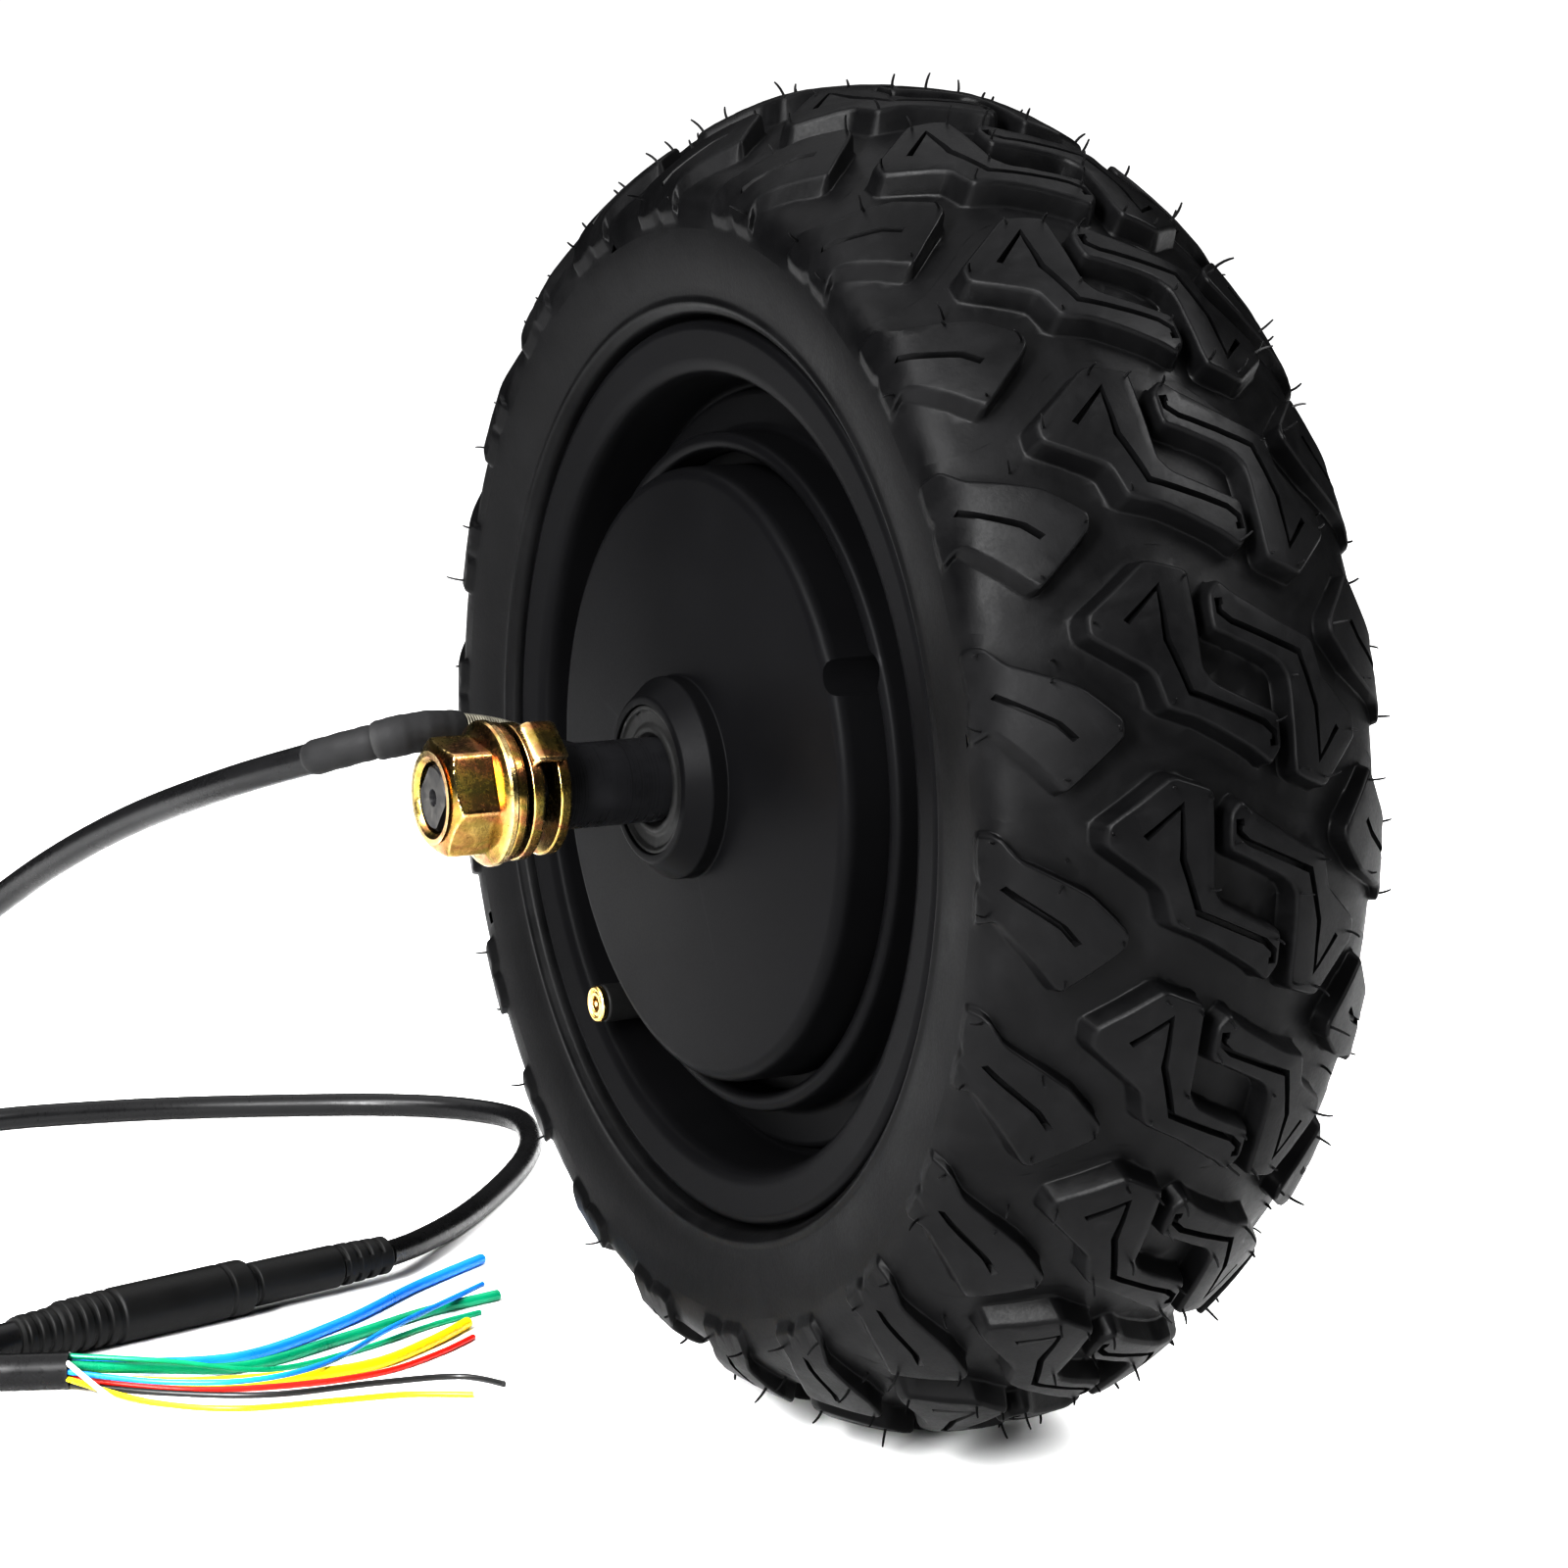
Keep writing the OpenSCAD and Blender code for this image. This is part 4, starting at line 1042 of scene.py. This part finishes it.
SHAFT = [
    (0, -74.5), (7.6, -74.5, 0.3), (8.49, -73.6, 0.3), (8.49, -26, 0), (10.5, -26, 0.2), (10.5, -20),
    (12, -20, 0.2), (12, 20, 0.2), (10.5, 20), (10.5, 26, 0.2), (8.49, 26, 0), (8.49, 73.6, 0.3),
    (7.6, 74.5, 0.3), (0, 74.5)
]
shaft_line = [p for p in rounded(SHAFT, 0.1, 3) if p[0] > 0.01]
v, f = revolve(shaft_line, SHAFT_SEGS, 1, closed=False)
shaft = mesh_piece("axle_shoulder", v, f + caps(SHAFT_SEGS, len(shaft_line)), "black_oxide", "stator", "axle",
                   sharp=40)
# the cable's hole slants out of the bore
slant, hole_turn = math.sin(math.radians(45)), math.radians(165)
hole_dir = Vector((math.cos(hole_turn) * slant, math.sin(hole_turn) * slant, slant))
hole_start = Vector((0, 0, 48))
carve(shaft, [rod(tuple(hole_start), tuple(hole_start + hole_dir * 24), 3.6, 40),
              rod((0, 0, 12), (0, 0, 50), 4.0, 40)])
threaded_end(1, "axle_thread")
threaded_end(-1, "far_axle_thread")

# ---- nuts and washers
NUT = [
    (14.15, 0.0), (14.4, 0.25), (14.4, 1.2), (14.1, 1.7), (13.2, 2.15), (12.6, 2.5), (12.1, 2.9), (12.1, 3.3)
]
NUT += [(12.12, 3.4 + 0.95 * i) for i in range(8)]
NUT += [(12.12 - 0.22 * i - 0.035 * i * i, 10.4 + 0.24 * i) for i in range(1, 9)]
NUT += [(9.2, 12.56), (8.6, 12.6), (8.05, 12.6), (7.6, 12.25), (7.1, 11.7)]
NUT += [(7.05 if i % 2 else 6.75, 11.7 - 0.75 * i) for i in range(1, 15)] + [(7.6, 0.5), (8.1, 0.0)]
NUT_H, NUT_TURN, NUT_HALF, NUT_CORNER, HEX_FOOT = 86.5, math.radians(-12), 10.5, 11.96, 2.9
WASHER_BORE_R = 7.15
SEGS = 144


def nut_shape(a, r, h):
    return min(r, hexagon(a - NUT_TURN, NUT_HALF), NUT_CORNER) if h >= HEX_FOOT else r


def nut(side, name, node):
    """Flange nut: hexagon with chamfered corners, cone, flange, threaded bore."""
    made = turn(NUT, SEGS, lambda x, y, h: to_world((x, y, NUT_H + h), side), True, nut_shape)
    return mesh_piece(name, *made, "zinc_yellow", "stator", node, sharp=30)


def washer_line(base, outer, thick, corner, steps):
    return rounded([(WASHER_BORE_R, base, 0.2), (outer, base, corner), (outer, base + thick, corner),
                    (WASHER_BORE_R, base + thick, 0.2)], 0.3, steps)


def washer(side, name, node, base, outer, thick, mat):
    def uneven_rim(a, r, h):
        return r + (0.05 * math.sin(3 * a + base) if r > outer - 1 else 0)
    made = revolve(washer_line(base, outer, thick, 0.55, 5), SEGS, side, True, uneven_rim)
    return mesh_piece(name, *made, mat, "stator", node, sharp=50)


def keyed_bore(a, r, h):
    return flat_radius(a, r, 5.15) if r < 9 else r


def tab_washer(side, name, node):
    """Keyed washer with one lug bent down towards the wheel."""
    base, thick, outer = 80.6, 2.5, 13.6
    verts, faces = revolve(washer_line(base, outer, thick, 0.45, 4), SEGS, side, True, keyed_bore)
    # the lug: a strip with rounded edges, bent over; (r, h) with half its width and half its thickness
    spine = [
        (11.0, 1.25, 5.0, 1.2), (12.6, 1.25, 5.0, 1.15), (13.3, 1.2, 5.0, 1.05), (13.85, 0.85, 5.0, 0.95),
        (14.15, 0.3, 5.0, 0.85), (14.2, -0.4, 5.0, 0.8), (14.15, -1.8, 5.0, 0.78), (14.1, -3.2, 5.0, 0.76),
        (14.1, -4.6, 4.9, 0.74), (14.1, -5.35, 4.5, 0.5)
    ]
    ang = math.radians(48)
    out_dir, cross_dir = Vector((math.cos(ang), math.sin(ang), 0)), Vector((-math.sin(ang), math.cos(ang), 0))
    first, sides = len(verts), 20
    centres = [Vector((r, base + h)) for r, h, _, _ in spine]
    for i, (r, h, half_w, half_t) in enumerate(spine):
        d = (centres[min(i + 1, len(spine) - 1)] - centres[max(i - 1, 0)]).normalized()
        for t in circle(sides):
            c, s = math.cos(t), math.sin(t)
            cx = math.copysign(abs(c) ** 0.3, c) * half_w
            cn = math.copysign(abs(s) ** 0.45, s) * half_t
            p = out_dir * (r - d.y * cn) + cross_dir * cx + Vector((0, 0, base + h + d.x * cn))
            verts.append(to_world(tuple(p), side))
    faces += quads(len(spine), sides, False, True, first)
    faces.append(tuple(first + k for k in range(sides)))
    faces.append(tuple(first + (len(spine) - 1) * sides + k for k in reversed(range(sides))))
    return mesh_piece(name, verts, faces, "zinc_yellow", "stator", node, sharp=45)


for side, tag, node_side in ((1, "", "cable_side"), (-1, "far_", "disc_side")):
    nut(side, tag + "flange_nut", node_side + "_nut")
    washer(side, tag + "plain_washer", node_side + "_washer", 84.2, 13.8, 2.25, "zinc_brown")
    tab_washer(side, tag + "lug_washer", node_side + "_tab_washer")
    washer(side, tag + "flat_washer", node_side + "_flat_washer", 74.55, 13, 2.55, "zinc_yellow")

# ---- valve
VALVE_A = 227.5
VALVE_AT = polar(VALVE_A, 73.5, 0)


def on_valve(profile, mat, body, name, node, segs=64, closed=True, reshape=None, sharp=40):
    """Turns an outline round the valve."""
    verts, faces = turn(profile, segs, lambda x, y, h: to_world((VALVE_AT[0] + x, VALVE_AT[1] + y, h)),
                        closed, reshape)
    if not closed:
        faces += caps(segs, len(profile))
    return mesh_piece(name, verts, faces, mat, body, node, sharp=sharp)
STEM = [
    (3.0, 12, 0), (3.0, 39.9, 0), (3.85, 40.1, 0.2), (3.9, 41.1, 0.2), (3.55, 41.5, 0.15), (3.0, 41.5, 0.15),
    (2.75, 41.1, 0.15), (2.5, 41.35, 0.1), (1.75, 41.35, 0.15), (1.6, 41.0, 0), (1.6, 12, 0)
]
RUBBER = [
    (3.05, 29.45, 0), (4.1, 29.5, 0.3), (4.15, 31, 0.3), (3.95, 31.4, 0.2), (4.0, 33, 0.2), (4.1, 39.4, 0.4),
    (3.8, 39.85, 0.2), (3.05, 39.85, 0)
]
GROMMET = [(3.05, 24.7, 0), (4.12, 24.7, 0.3), (4.12, 26.2, 0.4), (3.05, 26.25, 0)]
BASE_NUT = [
    (3.05, 26.32, 0), (5.0, 26.32, 0.2), (5.2, 26.7, 0.2), (5.2, 28.9, 0.2), (4.9, 29.35, 0.2),
    (3.05, 29.35, 0)
]
CORE_PIN = [
    (0.75, 24), (0.75, 31.8), (1.45, 32), (1.45, 35), (0.75, 35.2), (0.75, 41.05), (0.6, 41.25), (0.3, 41.3)
]


def valve_hexagon(a, r, h):
    return min(r, hexagon(a - math.radians(VALVE_A), 4.5)) if r > 4 else r
on_valve(rounded(STEM, 0.1, 3), "brass", "wheel", "valve_tip", "valve_stem")
on_valve(rounded(RUBBER, 0.15, 3), "black_rubber", "wheel", "valve_sleeve", "valve_rubber")
on_valve(rounded(GROMMET, 0.2, 3), "black_rubber", "wheel", "valve_grommet", None)
on_valve(rounded(BASE_NUT, 0.15, 3), "brass", "wheel", "valve_base_nut", "valve_nut", 72,
         reshape=valve_hexagon, sharp=30)
on_valve(CORE_PIN, "brass", "valve_pin", "valve_core_pin", "valve_core", 24, closed=False)

# ---- CAD nodes that stay: their finish
slot_of = {s["node"]: s["material_slot"] for s in frame["record"]["subparts"]}
for name, obj in frame["nodes"].items():
    if obj.type == "MESH":
        finish = MATS[slot_of[name]]
        if not obj.material_slots:
            obj.data.materials.append(finish)
        for s in obj.material_slots:
            s.material = finish

# ---- floor and light
FLOOR_HALF = 12
floor_look = Material("studio_floor")
floor_tone = ramp(floor_look, noise(floor_look, 3, 3), [(0.3, (0.90, 0.90, 0.90)), (0.7, (0.93, 0.93, 0.93))])
corners = [(x * FLOOR_HALF, y * FLOOR_HALF, FLOOR_Z) for x, y in ((-1, -1), (1, -1), (1, 1), (-1, 1))]
floor_data = mesh_data("studio_floor", corners, [(0, 1, 2, 3)])
floor_data.materials.append(floor_look.finish(floor_tone, 0.7, spec=0.15))
floor = add_object("studio_floor", floor_data)


def softbox(name, towards, distance, width, height, power):
    """A rectangular lamp that faces the origin."""
    data = bpy.data.lights.new(name, "AREA")
    data.shape = "RECTANGLE"
    data.size, data.size_y, data.energy = width, height, power
    lamp = add_object(name, data)
    way = Vector(towards).normalized()
    lamp.location = way * distance
    lamp.rotation_mode = "QUATERNION"
    lamp.rotation_quaternion = way.to_track_quat("Z", "Y")


softbox("key", (0.10, -0.74, 0.66), 1.5, 0.8, 0.5, 34)
softbox("strip", (0.47, -0.76, 0.35), 1.6, 0.3, 0.9, 80)
softbox("rim_light", (0.55, 0.50, 0.68), 1.6, 0.7, 0.6, 44)
overhead_data = bpy.data.lights.new("overhead", "SUN")
overhead_data.energy = 4.4
overhead_data.angle = math.radians(100)
add_object("overhead", overhead_data).location = (0, 0, 3)

# the world lights the part dimly and shows the camera a bright backdrop
world = bpy.data.worlds.new("studio")
bpy.context.scene.world = world
world.use_nodes = True
world_tree = world.node_tree
dim, bright = world_tree.nodes["Background"], world_tree.nodes.new("ShaderNodeBackground")
for node, strength in ((dim, 0.03), (bright, 1.1)):
    node.inputs["Color"].default_value = (1, 1, 1, 1)
    node.inputs["Strength"].default_value = strength
path = world_tree.nodes.new("ShaderNodeLightPath")
blend = world_tree.nodes.new("ShaderNodeMixShader")
world_tree.links.new(path.outputs["Is Camera Ray"], blend.inputs["Fac"])
world_tree.links.new(dim.outputs["Background"], blend.inputs[1])
world_tree.links.new(bright.outputs["Background"], blend.inputs[2])
world_tree.links.new(blend.outputs["Shader"], world_tree.nodes["World Output"].inputs["Surface"])
bpy.context.scene.view_settings.view_transform = "Standard"
bpy.context.scene.view_settings.gamma = 0.68
